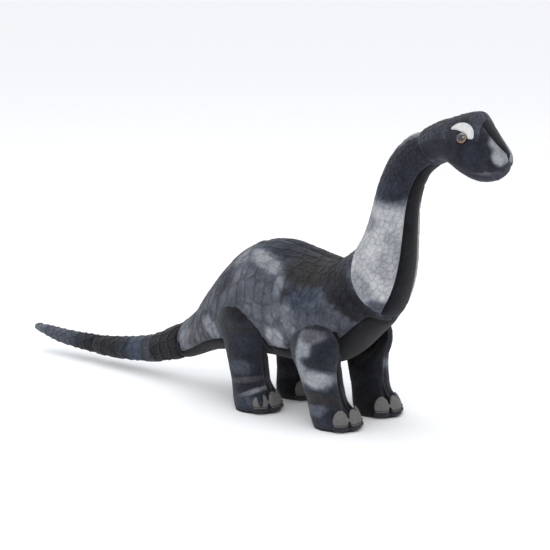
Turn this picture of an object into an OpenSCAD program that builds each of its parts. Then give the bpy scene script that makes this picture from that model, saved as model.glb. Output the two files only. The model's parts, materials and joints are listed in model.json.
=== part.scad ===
// Long-necked, four-legged stuffed dinosaur.
// Sewn panels over polyester filling; it stands on four flat soles.
// +X is the nose, +Y the animal's left, +Z up. The floor is Z = 0.

/* [Body] */
// Length from the tail seam to the breast
body_len = 238; // [200:1:285]
// Width across the flanks
body_w = 96; // [80:1:115]
// Height from belly to the top of the back
body_h = 99; // [83:1:118]
// Height of the belly above the floor
belly_z = 43; // [36:1:50]
// Forward shift of the body over its feet
body_shift = -31; // [-45:1:-20]

/* [Neck] */
// Rise from the neck seam to the head seam
neck_rise = 120; // [100:1:144]
// Forward reach from the neck seam to the head seam
neck_reach = 58; // [48:1:70]
// Thickness of the slim part of the neck
neck_d = 36; // [30:1:43]
// How far the neck can flex each way, in degrees
neck_flex = 12; // [5:1:14]

/* [Head] */
// Length from the head seam to the nose
head_len = 72; // [60:1:86]
// Height of the head
head_h = 56; // [47:1:67]
// Width of the head
head_w = 43; // [36:1:51]
// How far the head can nod each way, in degrees
head_nod = 15; // [5:1:18]
// Diameter of the safety eye
eye_d = 8.5; // [7:0.1:10]

/* [Tail] */
// Length from the tail seam to the seam of the tip
tail_len = 115; // [96:1:138]
// Length of the tip
tip_len = 86; // [72:1:103]
// Clear height under the tail
tail_z = 8; // [6:0.5:12]
// Thickness of the tail at its middle
tail_d = 22; // [18:0.5:26]
// How far the tail can swing each way, in degrees
tail_swing = 20; // [5:1:22]
// How far the tip can swing each way, in degrees
tip_swing = 25; // [5:1:28]

/* [Legs] */
// Distance between the middles of the front and the hind soles
wheelbase = 86; // [78:1:96]
// How far the front soles stand ahead of their hips
fore_stride = 14; // [0:0.5:16]
// How far the hind soles stand ahead of their hips
hind_stride = 7; // [0:0.5:12]
// Distance between the middles of the left and right soles
track = 56; // [50:1:64]
// Height of the hind hip
hind_hip_z = 74; // [64:1:84]
// Height of the front shoulder
fore_hip_z = 65; // [56:1:74]
// Radius of the rounded thigh
thigh_r = 27; // [24:0.5:31]
// Depth of the thigh over its flat inner side
thigh_depth = 18; // [15:0.5:21]
// Radius of the leg below the thigh
leg_r = 17.5; // [15:0.5:21]
// Length that the toes stand out in front
toe_out = 4; // [3:0.5:6]
// Thickness of the sole
sole_t = 2; // [1.5:0.1:3]
// How far a leg can swing each way, in degrees
leg_swing = 12; // [5:1:14]

/* [Cloth and fits] */
// Thickness of the plush with its pile
cloth_t = 2; // [1.5:0.1:2.5]
// Gap between one sewn panel and the next
seam_gap = 0.4; // [0.3:0.05:0.6]
// Clearance between the filling and the cloth
fill_gap = 0.3; // [0.2:0.05:0.5]
// Clearance between pieces that move past each other
joint_gap = 0.6; // [0.5:0.05:0.8]

/* [Hidden] */

// Colours
dark_plush = [0.17, 0.18, 0.22];
slate_plush = [0.30, 0.33, 0.39];
pale_plush = [0.62, 0.64, 0.67];
nail_grey = [0.36, 0.35, 0.34];
white_plush = [0.78, 0.79, 0.80];
eye_brown = [0.35, 0.20, 0.06];
plastic_clear = [0.85, 0.85, 0.82];
filling_white = [0.93, 0.93, 0.91];
bag_cream = [0.82, 0.79, 0.70];

// Outlines, seen from the side. A row is
// [top along, top height, bottom along, bottom height, width],
// in shares of the sizes that the functions after each table name.
torso_rows = [
    [0.00, 0.14, 0.00, -0.22, 0.31],
    [0.07, 0.24, 0.07, -0.16, 0.42],
    [0.14, 0.39, 0.14, -0.09, 0.58],
    [0.225, 0.63, 0.20, -0.05, 0.74],
    [0.335, 0.91, 0.30, -0.02, 0.88],
    [0.455, 1.035, 0.46, 0.00, 0.98],
    [0.60, 0.98, 0.61, 0.00, 1.00],
    [0.69, 0.935, 0.74, 0.03, 0.96],
    [0.73, 0.93, 0.82, 0.13, 0.88],
    [0.755, 0.94, 0.90, 0.31, 0.78],
    [0.775, 0.96, 0.985, 0.50, 0.69]
];
function torso_row(r) = [
    body_shift + (r[0] - 0.5) * body_len, belly_z + r[1] * body_h,
    body_shift + (r[2] - 0.5) * body_len, belly_z + r[3] * body_h,
    r[4] * body_w / 2
];
torso = [for (r = torso_rows) torso_row(r)];

// [reach, rise, lean in degrees, thickness, width]: centre in shares of the neck's
// reach and rise, thickness and width in shares of neck_d.
neck_rows = [
    [0.18, 0.12, 58, 1.64, 1.60],
    [0.31, 0.27, 65, 1.36, 1.38],
    [0.38, 0.44, 71, 1.16, 1.17],
    [0.43, 0.60, 74, 1.05, 1.05],
    [0.50, 0.73, 70, 1.00, 0.98],
    [0.62, 0.85, 58, 0.98, 0.95],
    [0.80, 0.95, 42, 0.94, 0.95],
    [1.00, 1.00, 34, 0.86, 0.98]
];

// As torso_rows, in shares of head_len, head_h and head_w.
head_rows = [
    [0.08, 0.78, 0.26, 0.25, 0.93],
    [0.30, 0.88, 0.44, 0.10, 1.00],
    [0.51, 0.97, 0.60, 0.01, 0.96],
    [0.64, 0.99, 0.73, 0.00, 0.82],
    [0.715, 0.83, 0.84, 0.04, 0.71],
    [0.85, 0.63, 0.93, 0.11, 0.58],
    [0.96, 0.48, 0.985, 0.21, 0.38],
    [0.985, 0.37, 1.00, 0.29, 0.14]
];

// [along, height, lean in degrees, thickness, width]: height from 1 at the seam with
// the body to 0 at the tip's seam, thickness and width in shares of tail_d.
tail_rows = [
    [0.16, 0.67, 8, 1.38, 1.25],
    [0.33, 0.38, 8, 1.20, 1.11],
    [0.56, 0.17, 5, 1.05, 1.03],
    [0.83, 0.03, 1, 0.91, 0.91],
    [1.00, 0.00, 0, 0.82, 0.82]
];
// As tail_rows, with the height from 0 at the seam to 1 at the end.
tip_rows = [
    [0.28, 0.00, -3, 0.73, 0.73],
    [0.58, 0.20, -6, 0.64, 0.62],
    [0.81, 0.70, -8, 0.50, 0.48],
    [0.95, 0.96, -8, 0.28, 0.27],
    [1.00, 1.00, -8, 0.06, 0.06]
];
tip_rise = 5;

function row_mid(r) = [(r[0] + r[2]) / 2, (r[1] + r[3]) / 2];
function leaned_row(x, z, lean, thick, wide) = [
    x - sin(lean) * thick / 2, z + cos(lean) * thick / 2,
    x + sin(lean) * thick / 2, z - cos(lean) * thick / 2, wide / 2
];

neck_seam = torso[len(torso) - 1];
neck_mid = row_mid(neck_seam);
neck = concat([neck_seam], [for (r = neck_rows) leaned_row(
    neck_mid[0] + r[0] * neck_reach, neck_mid[1] + r[1] * neck_rise,
    r[2], r[3] * neck_d, r[4] * neck_d)]);

head_seam = neck[len(neck) - 1];
head_mid = row_mid(head_seam);
chin_share = 0.41;
chin_z = head_mid[1] - chin_share * head_h;
head = concat([head_seam], [for (r = head_rows) [
    head_mid[0] + r[0] * head_len, chin_z + r[1] * head_h,
    head_mid[0] + r[2] * head_len, chin_z + r[3] * head_h, r[4] * head_w / 2]]);

tail_seam = torso[0];
tail_mid = row_mid(tail_seam);
tail_low = tail_z + tail_rows[len(tail_rows) - 1][3] / 2 * tail_d;
tail = concat([tail_seam], [for (r = tail_rows) leaned_row(
    tail_mid[0] - r[0] * tail_len, tail_low + r[1] * (tail_mid[1] - tail_low),
    r[2], r[3] * tail_d, r[4] * tail_d)]);

tip_seam = tail[len(tail) - 1];
tip_mid = row_mid(tip_seam);
tip = concat([tip_seam], [for (r = tip_rows) leaned_row(
    tip_mid[0] - r[0] * tip_len, tip_mid[1] + r[1] * tip_rise,
    r[2], r[3] * tail_d, r[4] * tail_d)]);

// The whole toy is moved so that the origin lies under the middle of its length.
nose_x = head_mid[0] + head_len;
tail_end_x = tip_mid[0] - tip_len;
middle_x = (nose_x + tail_end_x) / 2;

// Joints
neck_ball_r = 0.28 * body_w;
head_ball_r = 0.36 * neck_d;
tail_ball_r = 0.5 * tail_d;
tip_ball_r = 0.31 * tail_d;
cutter = 120; // side of the block that clears the room beyond a seam

// Legs
function stride(x) = x > 0 ? fore_stride : hind_stride;
fore_x = wheelbase / 2 - fore_stride;
hind_x = -wheelbase / 2 - hind_stride;
thigh_sunk = 16;
thigh_in = body_w / 2 - thigh_sunk;
hip_out = 2;
hip_y = thigh_in + hip_out;
hip_room_h = 40;
hollow_run = 4;
leg_block = [120, 80, 160];
foot_reach = 60;
belly_gap = 3;
// [height, out to the front, out to the back, half width] in shares of leg_r; the
// height is a share of the way from the sole to the hip.
leg_rows = [
    [0.00, 1.08, 1.00, 1.02],
    [0.09, 1.12, 1.03, 1.06],
    [0.20, 1.03, 0.97, 1.02],
    [0.33, 0.96, 0.94, 0.97],
    [0.55, 1.00, 1.00, 1.00],
    [0.78, 1.12, 1.12, 1.02],
    [1.00, 1.20, 1.20, 0.90]
];
toe_angles = [-42, 0, 42];
nail_w = 15;
nail_h = 16;
nail_lift = 0.5;
nail_thin = 0.28;
pad_h = 3;
pad_lift = 0.5;
pad_mid = 1.6;
pad_shape = [0.5, 1, 0.36];
sole_inset = 0.6;
bag_r = 11;
bag_off = 1;
bag_h = 12;

// Smooth curve through the rows of a table
function blend4(a, b, c, d, t) = 0.5 * ((2 * b) + (c - a) * t
    + (2 * a - 5 * b + 4 * c - d) * t * t + (3 * b - a - 3 * c + d) * t * t * t);
function row_at(rows, u) =
    let (n = len(rows) - 1, i = max(0, min(floor(u), n - 1)))
    blend4(rows[max(i - 1, 0)], rows[i], rows[i + 1], rows[min(i + 2, n)], u - i);

// Rings and facets are the same on the cloth and on the filling behind it.
facet = 15;
tail_facet = 22.5;
rings_per_row = 1.5;
function ring_count(u0, u1) = max(1, round((u1 - u0) * rings_per_row));

// A point of a cross-section: angle 0 is the top, 90 the left side, 180 underneath.
function skin_point(row, angle, inset) =
    let (rise = [row[0] - row[2], row[1] - row[3]] / 2,
         mid = row_mid(row),
         share = max(0.02, 1 - inset / norm(rise)),
         half = max(0.02 * row[4], row[4] - inset))
    [mid[0] + rise[0] * share * cos(angle), half * sin(angle),
     mid[1] + rise[1] * share * cos(angle)];

// Closed body along the rows, from row number u0 to u1
module swept(rows, u0, u1, inset, facet = facet) {
    steps = ring_count(u0, u1);
    sides = 360 / facet;
    points = [for (i = [0:steps], k = [0:sides - 1])
        skin_point(row_at(rows, u0 + (u1 - u0) * i / steps), 360 * k / sides, inset)];
    walls = [for (i = [0:steps - 1], k = [0:sides - 1])
        let (a = i * sides + k, b = i * sides + (k + 1) % sides)
        each [[a, b, b + sides], [a, b + sides, a + sides]]];
    polyhedron(points, concat(walls, [[for (k = [sides - 1:-1:0]) k]],
        [[for (k = [0:sides - 1]) steps * sides + k]]), convexity = 8);
}

// Sheet between two insets, over rows u0 to u1 and angles a0 to a1
module sheet(rows, u0, u1, a0, a1, outer, inner, facet = facet) {
    steps = ring_count(u0, u1);
    strips = round((a1 - a0) / facet);
    layer = (steps + 1) * (strips + 1);
    points = [for (inset = [outer, inner], i = [0:steps], k = [0:strips])
        let (row = row_at(rows, u0 + (u1 - u0) * i / steps),
             trim = seam_gap / 2 / max(2, row[4] - inset) * 180 / PI,
             angle = a0 + trim + (a1 - a0 - 2 * trim) * k / strips)
        skin_point(row, angle, inset)];
    outside = [for (i = [0:steps - 1], k = [0:strips - 1])
        let (a = i * (strips + 1) + k, b = a + strips + 1)
        each [[a, a + 1, b + 1], [a, b + 1, b]]];
    inside = [for (f = outside) [f[2] + layer, f[1] + layer, f[0] + layer]];
    rim = concat(
        [for (k = [0:strips]) k],
        [for (i = [1:steps]) i * (strips + 1) + strips],
        [for (k = [strips - 1:-1:0]) steps * (strips + 1) + k],
        [for (i = [steps - 1:-1:1]) i * (strips + 1)]);
    edge = [for (j = [0:len(rim) - 1])
        let (a = rim[j], b = rim[(j + 1) % len(rim)])
        each [[b, a, a + layer], [b, a + layer, b + layer]]];
    polyhedron(points, concat(outside, inside, edge), convexity = 8);
}

// Everything inside is worked out as one mesh
module one_mesh() {
    resize([0, 0, 0]) children();
}

module placed() {
    translate([-middle_x, 0, 0]) children();
}

// The room that a moving end takes: both limits of the swing beyond a seam, and the
// socket for its ball. axis 1 swings up and down, axis 2 sideways.
module swing_room(mid, lean, ball_r, swing, axis) {
    translate([mid[0], 0, mid[1]]) {
        for (s = [-1, 1])
            rotate([0, -lean, 0]) rotate([0, axis == 1 ? s * swing : 0, axis == 2 ? s * swing : 0])
                translate([cutter / 2 - joint_gap, 0, 0]) cube(cutter, center = true);
        sphere(ball_r + joint_gap, $fn = 20);
    }
}

function lean_of(row) = atan2(row[2] - row[0], row[1] - row[3]);

module neck_room() {
    swing_room(neck_mid, lean_of(neck_seam), neck_ball_r, neck_flex, 1);
}
module head_room() {
    swing_room(head_mid, lean_of(head_seam), head_ball_r, head_nod, 1);
}
module tail_room() {
    swing_room(tail_mid, 180, tail_ball_r, tail_swing, 2);
}
module tip_room() {
    swing_room(tip_mid, 180, tip_ball_r, tip_swing, 2);
}

// Legs are drawn for the left side and mirrored for the right.
function leg_mid(hip_x, hip_z, t) = [
    hip_x + stride(hip_x) * pow(1 - t, 1.6), track / 2 + (hip_y - track / 2) * t,
    sole_t + (hip_z - sole_t) * t
];

module shank(hip_x, hip_z, inset, grow) {
    sides = 14;
    steps = 6;
    points = [for (i = [0:steps], k = [0:sides - 1])
        let (r = row_at(leg_rows, (len(leg_rows) - 1) * i / steps),
             angle = 360 * k / sides,
             mid = leg_mid(hip_x, hip_z, r[0]),
             toe = toe_out * max(0, 1 - r[0] / 0.3),
             front = max(1, r[1] * leg_r + toe - inset + grow),
             back = max(1, r[2] * leg_r - inset + grow),
             half = max(1, r[3] * leg_r - inset + grow))
        mid + [(cos(angle) > 0 ? front : back) * cos(angle), half * sin(angle), 0]];
    walls = [for (i = [0:steps - 1], k = [0:sides - 1])
        let (a = i * sides + k, b = i * sides + (k + 1) % sides)
        each [[a, a + sides, b + sides], [a, b + sides, b]]];
    polyhedron(points, concat(walls, [[for (k = [0:sides - 1]) k]],
        [[for (k = [sides - 1:-1:0]) steps * sides + k]]), convexity = 6);
}

module thigh(hip_x, hip_z, inset) {
    translate([hip_x, thigh_in, hip_z]) rotate([-90, 0, 0])
        rotate_extrude($fn = 22)
            intersection() {
                square(2 * thigh_r);
                scale([1, (thigh_depth - inset) / (thigh_r - inset)])
                    circle(thigh_r - inset, $fn = 16);
            }
}

// Bearing surface, round about the hip axis, that keeps a leg clear of the belly
module hip_drum(hip_x, hip_z, r, y) {
    translate([hip_x, -1, hip_z]) rotate([-90, 0, 0]) cylinder(h = y + 1, r = r, $fn = 28);
}

module leg_shape(hip_x, hip_z, inset) {
    difference() {
        leg_core(hip_x, hip_z, inset);
        hip_drum(hip_x, hip_z, hip_z - belly_z - belly_gap, thigh_in);
    }
}
module leg_core(hip_x, hip_z, inset) {
    thigh(hip_x, hip_z, inset);
    shank(hip_x, hip_z, inset, 0);
}
// What a leg's cloth is hollowed by; it runs on through the flat inner side.
module leg_hollow(hip_x, hip_z, inset) {
    leg_core(hip_x, hip_z, inset);
    translate([hip_x, thigh_in - hollow_run, hip_z]) rotate([-90, 0, 0])
        cylinder(h = hollow_run + 0.1, r = thigh_r - inset, $fn = 22);
}

// The room that one leg takes in the body over its swing
module leg_room(hip_x, hip_z) {
    translate([hip_x, thigh_in - joint_gap, hip_z]) rotate([-90, 0, 0])
        cylinder(h = hip_room_h, r = thigh_r + joint_gap, $fn = 30);
    difference() {
        hull()
            for (s = [-1, 1])
                translate([hip_x, 0, hip_z]) rotate([0, s * leg_swing, 0])
                    translate([-hip_x, 0, -hip_z]) shank(hip_x, hip_z, 0, joint_gap);
        hip_drum(hip_x, hip_z, hip_z - belly_z - belly_gap - joint_gap, thigh_in - joint_gap);
    }
}

module all_leg_room() {
    for (side = [1, -1])
        mirror([0, side < 0 ? 1 : 0, 0]) {
            leg_room(fore_x, fore_hip_z);
            leg_room(hind_x, hind_hip_z);
        }
}

module torso_room() {
    all_leg_room();
    neck_room();
    tail_room();
}

// ---- Body
last_torso = len(torso) - 1;
belly_from = 135;
rump_end = 2;
ring_gap = 0.01;

module torso_sheet(u0, u1, a0, a1) {
    one_mesh() difference() {
        sheet(torso, u0 + ring_gap, u1, a0, a1, 0, cloth_t);
        torso_room();
    }
}

module body_panel_left() {
    color(slate_plush) placed()
        torso_sheet(rump_end, last_torso, 0, belly_from);
}
module body_panel_right() {
    color(slate_plush) placed()
        torso_sheet(rump_end, last_torso, 360 - belly_from, 360);
}
module rump_panel_left() {
    color(pale_plush) placed() torso_sheet(0, rump_end, 0, belly_from);
}
module rump_panel_right() {
    color(pale_plush) placed() torso_sheet(0, rump_end, 360 - belly_from, 360);
}
module belly_panel() {
    color(dark_plush) placed()
        torso_sheet(0, last_torso, belly_from, 360 - belly_from);
}
module torso_filling() {
    color(filling_white) placed() one_mesh() difference() {
        swept(torso, 0, last_torso, cloth_t + fill_gap);
        torso_room();
    }
}

// ---- Neck
last_neck = len(neck) - 1;
throat_from = 150;

module neck_sheet(a0, a1) {
    one_mesh() difference() {
        sheet(neck, 0, last_neck, a0, a1, 0, cloth_t);
        head_room();
    }
}

module neck_panel_left() {
    color(slate_plush) placed() neck_sheet(0, throat_from);
}
module neck_panel_right() {
    color(slate_plush) placed() neck_sheet(360 - throat_from, 360);
}
module throat_panel() {
    color(dark_plush) placed() neck_sheet(throat_from, 360 - throat_from);
}
module neck_filling() {
    color(filling_white) placed() one_mesh() difference() {
        union() {
            swept(neck, 0, last_neck, cloth_t + fill_gap);
            translate([neck_mid[0], 0, neck_mid[1]]) sphere(neck_ball_r, $fn = 20);
        }
        head_room();
    }
}

// ---- Head
last_head = len(head) - 1;
cheek_from = 75;
jaw_from = 135;
bridge_half = 30;
muzzle_row = 4 + 2 / 3;
nose_end = last_head - 2 / 3;
eye_row = 3.15;
eye_angle = 68;
eye_stem_d = 3;
eye_stem_h = 8;
eye_tilt = 22;
eye_turn = 8;
hole_play = 0.6;
hole_h = 24;
eye_rise = 0.32 * eye_d;
eye_ball_r = (eye_d * eye_d / 4 + eye_rise * eye_rise) / (2 * eye_rise);
washer_d = 12;
washer_t = 1.2;
washer_back = 2.2;
head_side = row_at(head, eye_row);

module at_eye() {
    seat = skin_point(head_side, eye_angle, 0);
    translate(seat) rotate([eye_tilt - 90, 0, -eye_turn]) children();
}
module eye_hole(d) {
    for (side = [1, -1])
        mirror([0, side < 0 ? 1 : 0, 0]) at_eye()
            cylinder(h = hole_h, d = d, center = true, $fn = 24);
}

module head_sheet(u0, u1, a0, a1) {
    one_mesh() difference() {
        sheet(head, u0 + ring_gap, u1 - ring_gap, a0, a1, 0, cloth_t);
        eye_hole(eye_stem_d + hole_play);
    }
}

module crown_panel_left() {
    color(slate_plush) placed() head_sheet(0, muzzle_row, 0, cheek_from);
}
module crown_panel_right() {
    color(slate_plush) placed() head_sheet(0, muzzle_row, 360 - cheek_from, 360);
}
module nose_bridge_panel() {
    color(dark_plush) placed()
        head_sheet(muzzle_row, last_head, -bridge_half, bridge_half);
}
module muzzle_panel_left() {
    color(pale_plush) placed()
        head_sheet(muzzle_row, last_head, bridge_half, jaw_from);
}
module muzzle_panel_right() {
    color(pale_plush) placed()
        head_sheet(muzzle_row, last_head, 360 - jaw_from, 360 - bridge_half);
}
module cheek_panel_left() {
    color(dark_plush) placed() head_sheet(0, muzzle_row, cheek_from, jaw_from);
}
module cheek_panel_right() {
    color(dark_plush) placed()
        head_sheet(0, muzzle_row, 360 - jaw_from, 360 - cheek_from);
}
module jaw_panel() {
    color(slate_plush) placed() head_sheet(0, last_head, jaw_from, 360 - jaw_from);
}

brow_t = 1.2;
brow_rows = [8 / 3, 4];
brow_from = 26;
brow_to = 56;
module brow_patch_left() {
    color(white_plush) placed()
        sheet(head, brow_rows[0], brow_rows[1], brow_from, brow_to,
            -brow_t - fill_gap, -fill_gap);
}
module brow_patch_right() {
    color(white_plush) placed()
        sheet(head, brow_rows[0], brow_rows[1], 360 - brow_to, 360 - brow_from,
            -brow_t - fill_gap, -fill_gap);
}

module one_eye(side) {
    mirror([0, side < 0 ? 1 : 0, 0]) at_eye() {
        translate([0, 0, fill_gap]) intersection() {
            translate([0, 0, eye_rise - eye_ball_r]) sphere(eye_ball_r, $fn = 32);
            translate([-eye_d, -eye_d, 0]) cube([2 * eye_d, 2 * eye_d, eye_d]);
        }
        translate([0, 0, 1 - eye_stem_h]) cylinder(h = eye_stem_h, d = eye_stem_d, $fn = 24);
    }
}
module eye_left() {
    color(eye_brown) placed() one_eye(1);
}
module eye_right() {
    color(eye_brown) placed() one_eye(-1);
}

module washer_at(side, extra) {
    mirror([0, side < 0 ? 1 : 0, 0]) at_eye()
        translate([0, 0, -cloth_t - washer_back - washer_t - extra])
            cylinder(h = washer_t + 2 * extra, d = washer_d + 2 * extra, $fn = 32);
}
module one_washer(side) {
    difference() {
        washer_at(side, 0);
        mirror([0, side < 0 ? 1 : 0, 0]) at_eye()
            cylinder(h = hole_h, d = eye_stem_d + hole_play / 2, center = true, $fn = 24);
    }
}
module eye_washer_left() {
    color(plastic_clear) placed() one_washer(1);
}
module eye_washer_right() {
    color(plastic_clear) placed() one_washer(-1);
}

module head_filling() {
    color(filling_white) placed() one_mesh() difference() {
        union() {
            swept(head, 0, nose_end, cloth_t + fill_gap);
            translate([head_mid[0], 0, head_mid[1]]) sphere(head_ball_r, $fn = 16);
        }
        eye_hole(eye_stem_d + hole_play);
        washer_at(1, fill_gap);
        washer_at(-1, fill_gap);
    }
}

// ---- Tail
last_tail = len(tail) - 1;
last_tip = len(tip) - 1;

// The tables of the tail run backwards, so its sheets are drawn mirrored along X.
function turned(rows) = [for (i = [len(rows) - 1:-1:0]) rows[i]];
tail_turned = turned(tail);
tip_turned = turned(tip);

module tail_sheet(a0, a1) {
    one_mesh() difference() {
        sheet(tail_turned, 0, last_tail, a0, a1, 0, cloth_t, tail_facet);
        tip_room();
    }
}
module tail_panel_left() {
    color(dark_plush) placed() tail_sheet(0, 180);
}
module tail_panel_right() {
    color(dark_plush) placed() tail_sheet(180, 360);
}
module tail_filling() {
    color(filling_white) placed() one_mesh() difference() {
        union() {
            swept(tail_turned, 0, last_tail, cloth_t + fill_gap, tail_facet);
            translate([tail_mid[0], 0, tail_mid[1]]) sphere(tail_ball_r, $fn = 16);
        }
        tip_room();
    }
}

module tip_panel_left() {
    color(slate_plush) placed() one_mesh()
        sheet(tip_turned, 0, last_tip, 0, 180, 0, cloth_t, tail_facet);
}
module tip_panel_right() {
    color(slate_plush) placed() one_mesh()
        sheet(tip_turned, 0, last_tip, 180, 360, 0, cloth_t, tail_facet);
}
module tip_filling() {
    color(filling_white) placed() one_mesh() union() {
        swept(tip_turned, 4 / 3, last_tip, cloth_t + fill_gap, tail_facet);
        translate([tip_mid[0], 0, tip_mid[1]]) sphere(tip_ball_r, $fn = 14);
    }
}

// ---- Legs
function hip_x(pair) = pair == "fore" ? fore_x : hind_x;
function sole_x(pair) = hip_x(pair) + stride(hip_x(pair));
function hip_z(pair) = pair == "fore" ? fore_hip_z : hind_hip_z;

// A box round one foot, from one height to another
module foot_slab(x, low, high) {
    translate([x - foot_reach, 0, low]) cube([2 * foot_reach, foot_reach + track, high - low]);
}

// Half of a leg's cloth, outside (1) or inside (-1) of its side seams
module leg_cloth(pair, half) {
    x = hip_x(pair);
    z = hip_z(pair);
    lean = atan2(hip_y - track / 2, z - sole_t);
    one_mesh() intersection() {
        difference() {
            leg_shape(x, z, 0);
            leg_hollow(x, z, cloth_t);
            foot_slab(x, -1, sole_t + fill_gap);
        }
        translate([x, track / 2, sole_t]) rotate([-lean, 0, 0])
            translate([0, half * (leg_block[1] + seam_gap) / 2, leg_block[2] / 4])
                cube(leg_block, center = true);
    }
}
module leg_side(side) {
    mirror([0, side < 0 ? 1 : 0, 0]) children();
}
module outer_panel(pair, side) {
    color(slate_plush) placed() leg_side(side) leg_cloth(pair, 1);
}
module inner_panel(pair, side) {
    color(dark_plush) placed() leg_side(side) leg_cloth(pair, -1);
}

module sole_outline(inset) {
    front = leg_rows[0][1] * leg_r + toe_out - inset;
    back = leg_rows[0][2] * leg_r - inset;
    half = leg_rows[0][3] * leg_r - inset;
    polygon([for (k = [0:35])
        let (angle = 10 * k)
        [(cos(angle) > 0 ? front : back) * cos(angle), half * sin(angle)]]);
}
module sole(pair, side) {
    color(dark_plush) placed() leg_side(side)
        translate([sole_x(pair), track / 2, 0])
            linear_extrude(sole_t) sole_outline(sole_inset);
}

module at_toe(pair, angle, height) {
    front = leg_rows[1][1] * leg_r + toe_out * 0.7;
    half = leg_rows[1][3] * leg_r;
    translate([sole_x(pair) + front * cos(angle), track / 2 + half * sin(angle), height])
        rotate([0, 0, angle]) children();
}
module toe_nails(pair, side) {
    color(nail_grey) placed() leg_side(side) one_mesh() difference() {
        for (angle = toe_angles)
            at_toe(pair, angle, sole_t + nail_lift + nail_h / 2) scale([nail_thin, nail_w / nail_h, 1])
                sphere(d = nail_h, $fn = 10);
        shank(hip_x(pair), hip_z(pair), 0, fill_gap);
        foot_slab(hip_x(pair), -1, sole_t + pad_h + fill_gap);
    }
}
module toe_pads(pair, side) {
    color(dark_plush) placed() leg_side(side) one_mesh() difference() {
        for (angle = toe_angles)
            at_toe(pair, angle, sole_t + pad_mid) scale(pad_shape)
                sphere(d = nail_w, $fn = 10);
        shank(hip_x(pair), hip_z(pair), 0, fill_gap);
        translate([sole_x(pair), track / 2, -1]) linear_extrude(sole_t + 2) sole_outline(0);
        foot_slab(hip_x(pair), -1, pad_lift);
        foot_slab(hip_x(pair), sole_t + pad_h, nail_h + leg_r);
    }
}

module pellet_bag_shape(pair, extra, below) {
    translate([sole_x(pair) - bag_off, track / 2 + bag_off, sole_t + fill_gap]) {
        translate([0, 0, -below]) cylinder(h = bag_h + below, r = bag_r + extra, $fn = 24);
        translate([0, 0, bag_h]) sphere(bag_r + extra, $fn = 24);
    }
}
module leg_filling(pair, side) {
    color(filling_white) placed() leg_side(side) one_mesh() difference() {
        leg_shape(hip_x(pair), hip_z(pair), cloth_t + fill_gap);
        foot_slab(hip_x(pair), -1, sole_t + fill_gap);
        pellet_bag_shape(pair, fill_gap, 5);
    }
}
module pellet_bag(pair, side) {
    color(bag_cream) placed() leg_side(side) pellet_bag_shape(pair, 0, 0);
}

body_panel_left();
body_panel_right();
rump_panel_left();
rump_panel_right();
belly_panel();
torso_filling();
neck_panel_left();
neck_panel_right();
throat_panel();
neck_filling();
crown_panel_left();
crown_panel_right();
nose_bridge_panel();
muzzle_panel_left();
muzzle_panel_right();
cheek_panel_left();
cheek_panel_right();
jaw_panel();
brow_patch_left();
brow_patch_right();
eye_left();
eye_right();
eye_washer_left();
eye_washer_right();
head_filling();
tail_panel_left();
tail_panel_right();
tail_filling();
tip_panel_left();
tip_panel_right();
tip_filling();
outer_panel("fore", 1);  // fore_left_outer_panel
inner_panel("fore", 1);  // fore_left_inner_panel
sole("fore", 1);  // fore_left_sole
toe_nails("fore", 1);  // fore_left_toe_nails
toe_pads("fore", 1);  // fore_left_toe_pads
leg_filling("fore", 1);  // fore_left_filling
pellet_bag("fore", 1);  // fore_left_pellet_bag
outer_panel("fore", -1);  // fore_right_outer_panel
inner_panel("fore", -1);  // fore_right_inner_panel
sole("fore", -1);  // fore_right_sole
toe_nails("fore", -1);  // fore_right_toe_nails
toe_pads("fore", -1);  // fore_right_toe_pads
leg_filling("fore", -1);  // fore_right_filling
pellet_bag("fore", -1);  // fore_right_pellet_bag
outer_panel("hind", 1);  // hind_left_outer_panel
inner_panel("hind", 1);  // hind_left_inner_panel
sole("hind", 1);  // hind_left_sole
toe_nails("hind", 1);  // hind_left_toe_nails
toe_pads("hind", 1);  // hind_left_toe_pads
leg_filling("hind", 1);  // hind_left_filling
pellet_bag("hind", 1);  // hind_left_pellet_bag
outer_panel("hind", -1);  // hind_right_outer_panel
inner_panel("hind", -1);  // hind_right_inner_panel
sole("hind", -1);  // hind_right_sole
toe_nails("hind", -1);  // hind_right_toe_nails
toe_pads("hind", -1);  // hind_right_toe_pads
leg_filling("hind", -1);  // hind_right_filling
pellet_bag("hind", -1);  // hind_right_pellet_bag
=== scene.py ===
import json
import math

import bpy
import numpy as np
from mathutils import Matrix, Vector
from mathutils.bvhtree import BVHTree
from mathutils.kdtree import KDTree


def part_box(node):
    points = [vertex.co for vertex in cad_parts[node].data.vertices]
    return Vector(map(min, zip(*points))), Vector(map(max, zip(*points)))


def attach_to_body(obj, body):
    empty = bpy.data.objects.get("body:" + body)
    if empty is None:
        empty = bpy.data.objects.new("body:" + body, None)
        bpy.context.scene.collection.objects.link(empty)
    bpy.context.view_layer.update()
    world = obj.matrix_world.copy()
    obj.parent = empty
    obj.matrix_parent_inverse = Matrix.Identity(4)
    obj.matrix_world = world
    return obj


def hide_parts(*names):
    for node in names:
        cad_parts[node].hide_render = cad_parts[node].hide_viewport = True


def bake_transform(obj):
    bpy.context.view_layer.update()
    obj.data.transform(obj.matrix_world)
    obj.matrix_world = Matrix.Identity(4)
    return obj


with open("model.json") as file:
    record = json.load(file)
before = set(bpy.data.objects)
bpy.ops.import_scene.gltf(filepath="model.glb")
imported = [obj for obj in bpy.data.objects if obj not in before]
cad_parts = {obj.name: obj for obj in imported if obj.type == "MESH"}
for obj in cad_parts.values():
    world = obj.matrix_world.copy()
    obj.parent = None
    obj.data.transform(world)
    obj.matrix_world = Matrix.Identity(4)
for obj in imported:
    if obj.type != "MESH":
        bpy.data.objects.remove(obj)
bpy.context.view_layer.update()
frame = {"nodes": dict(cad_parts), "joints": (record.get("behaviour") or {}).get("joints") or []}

mm = 0.001
joints = {j["name"]: np.array(j["pos_m"]) for j in frame["joints"]}
left = np.array([0.0, 1.0, 0.0])
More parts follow.
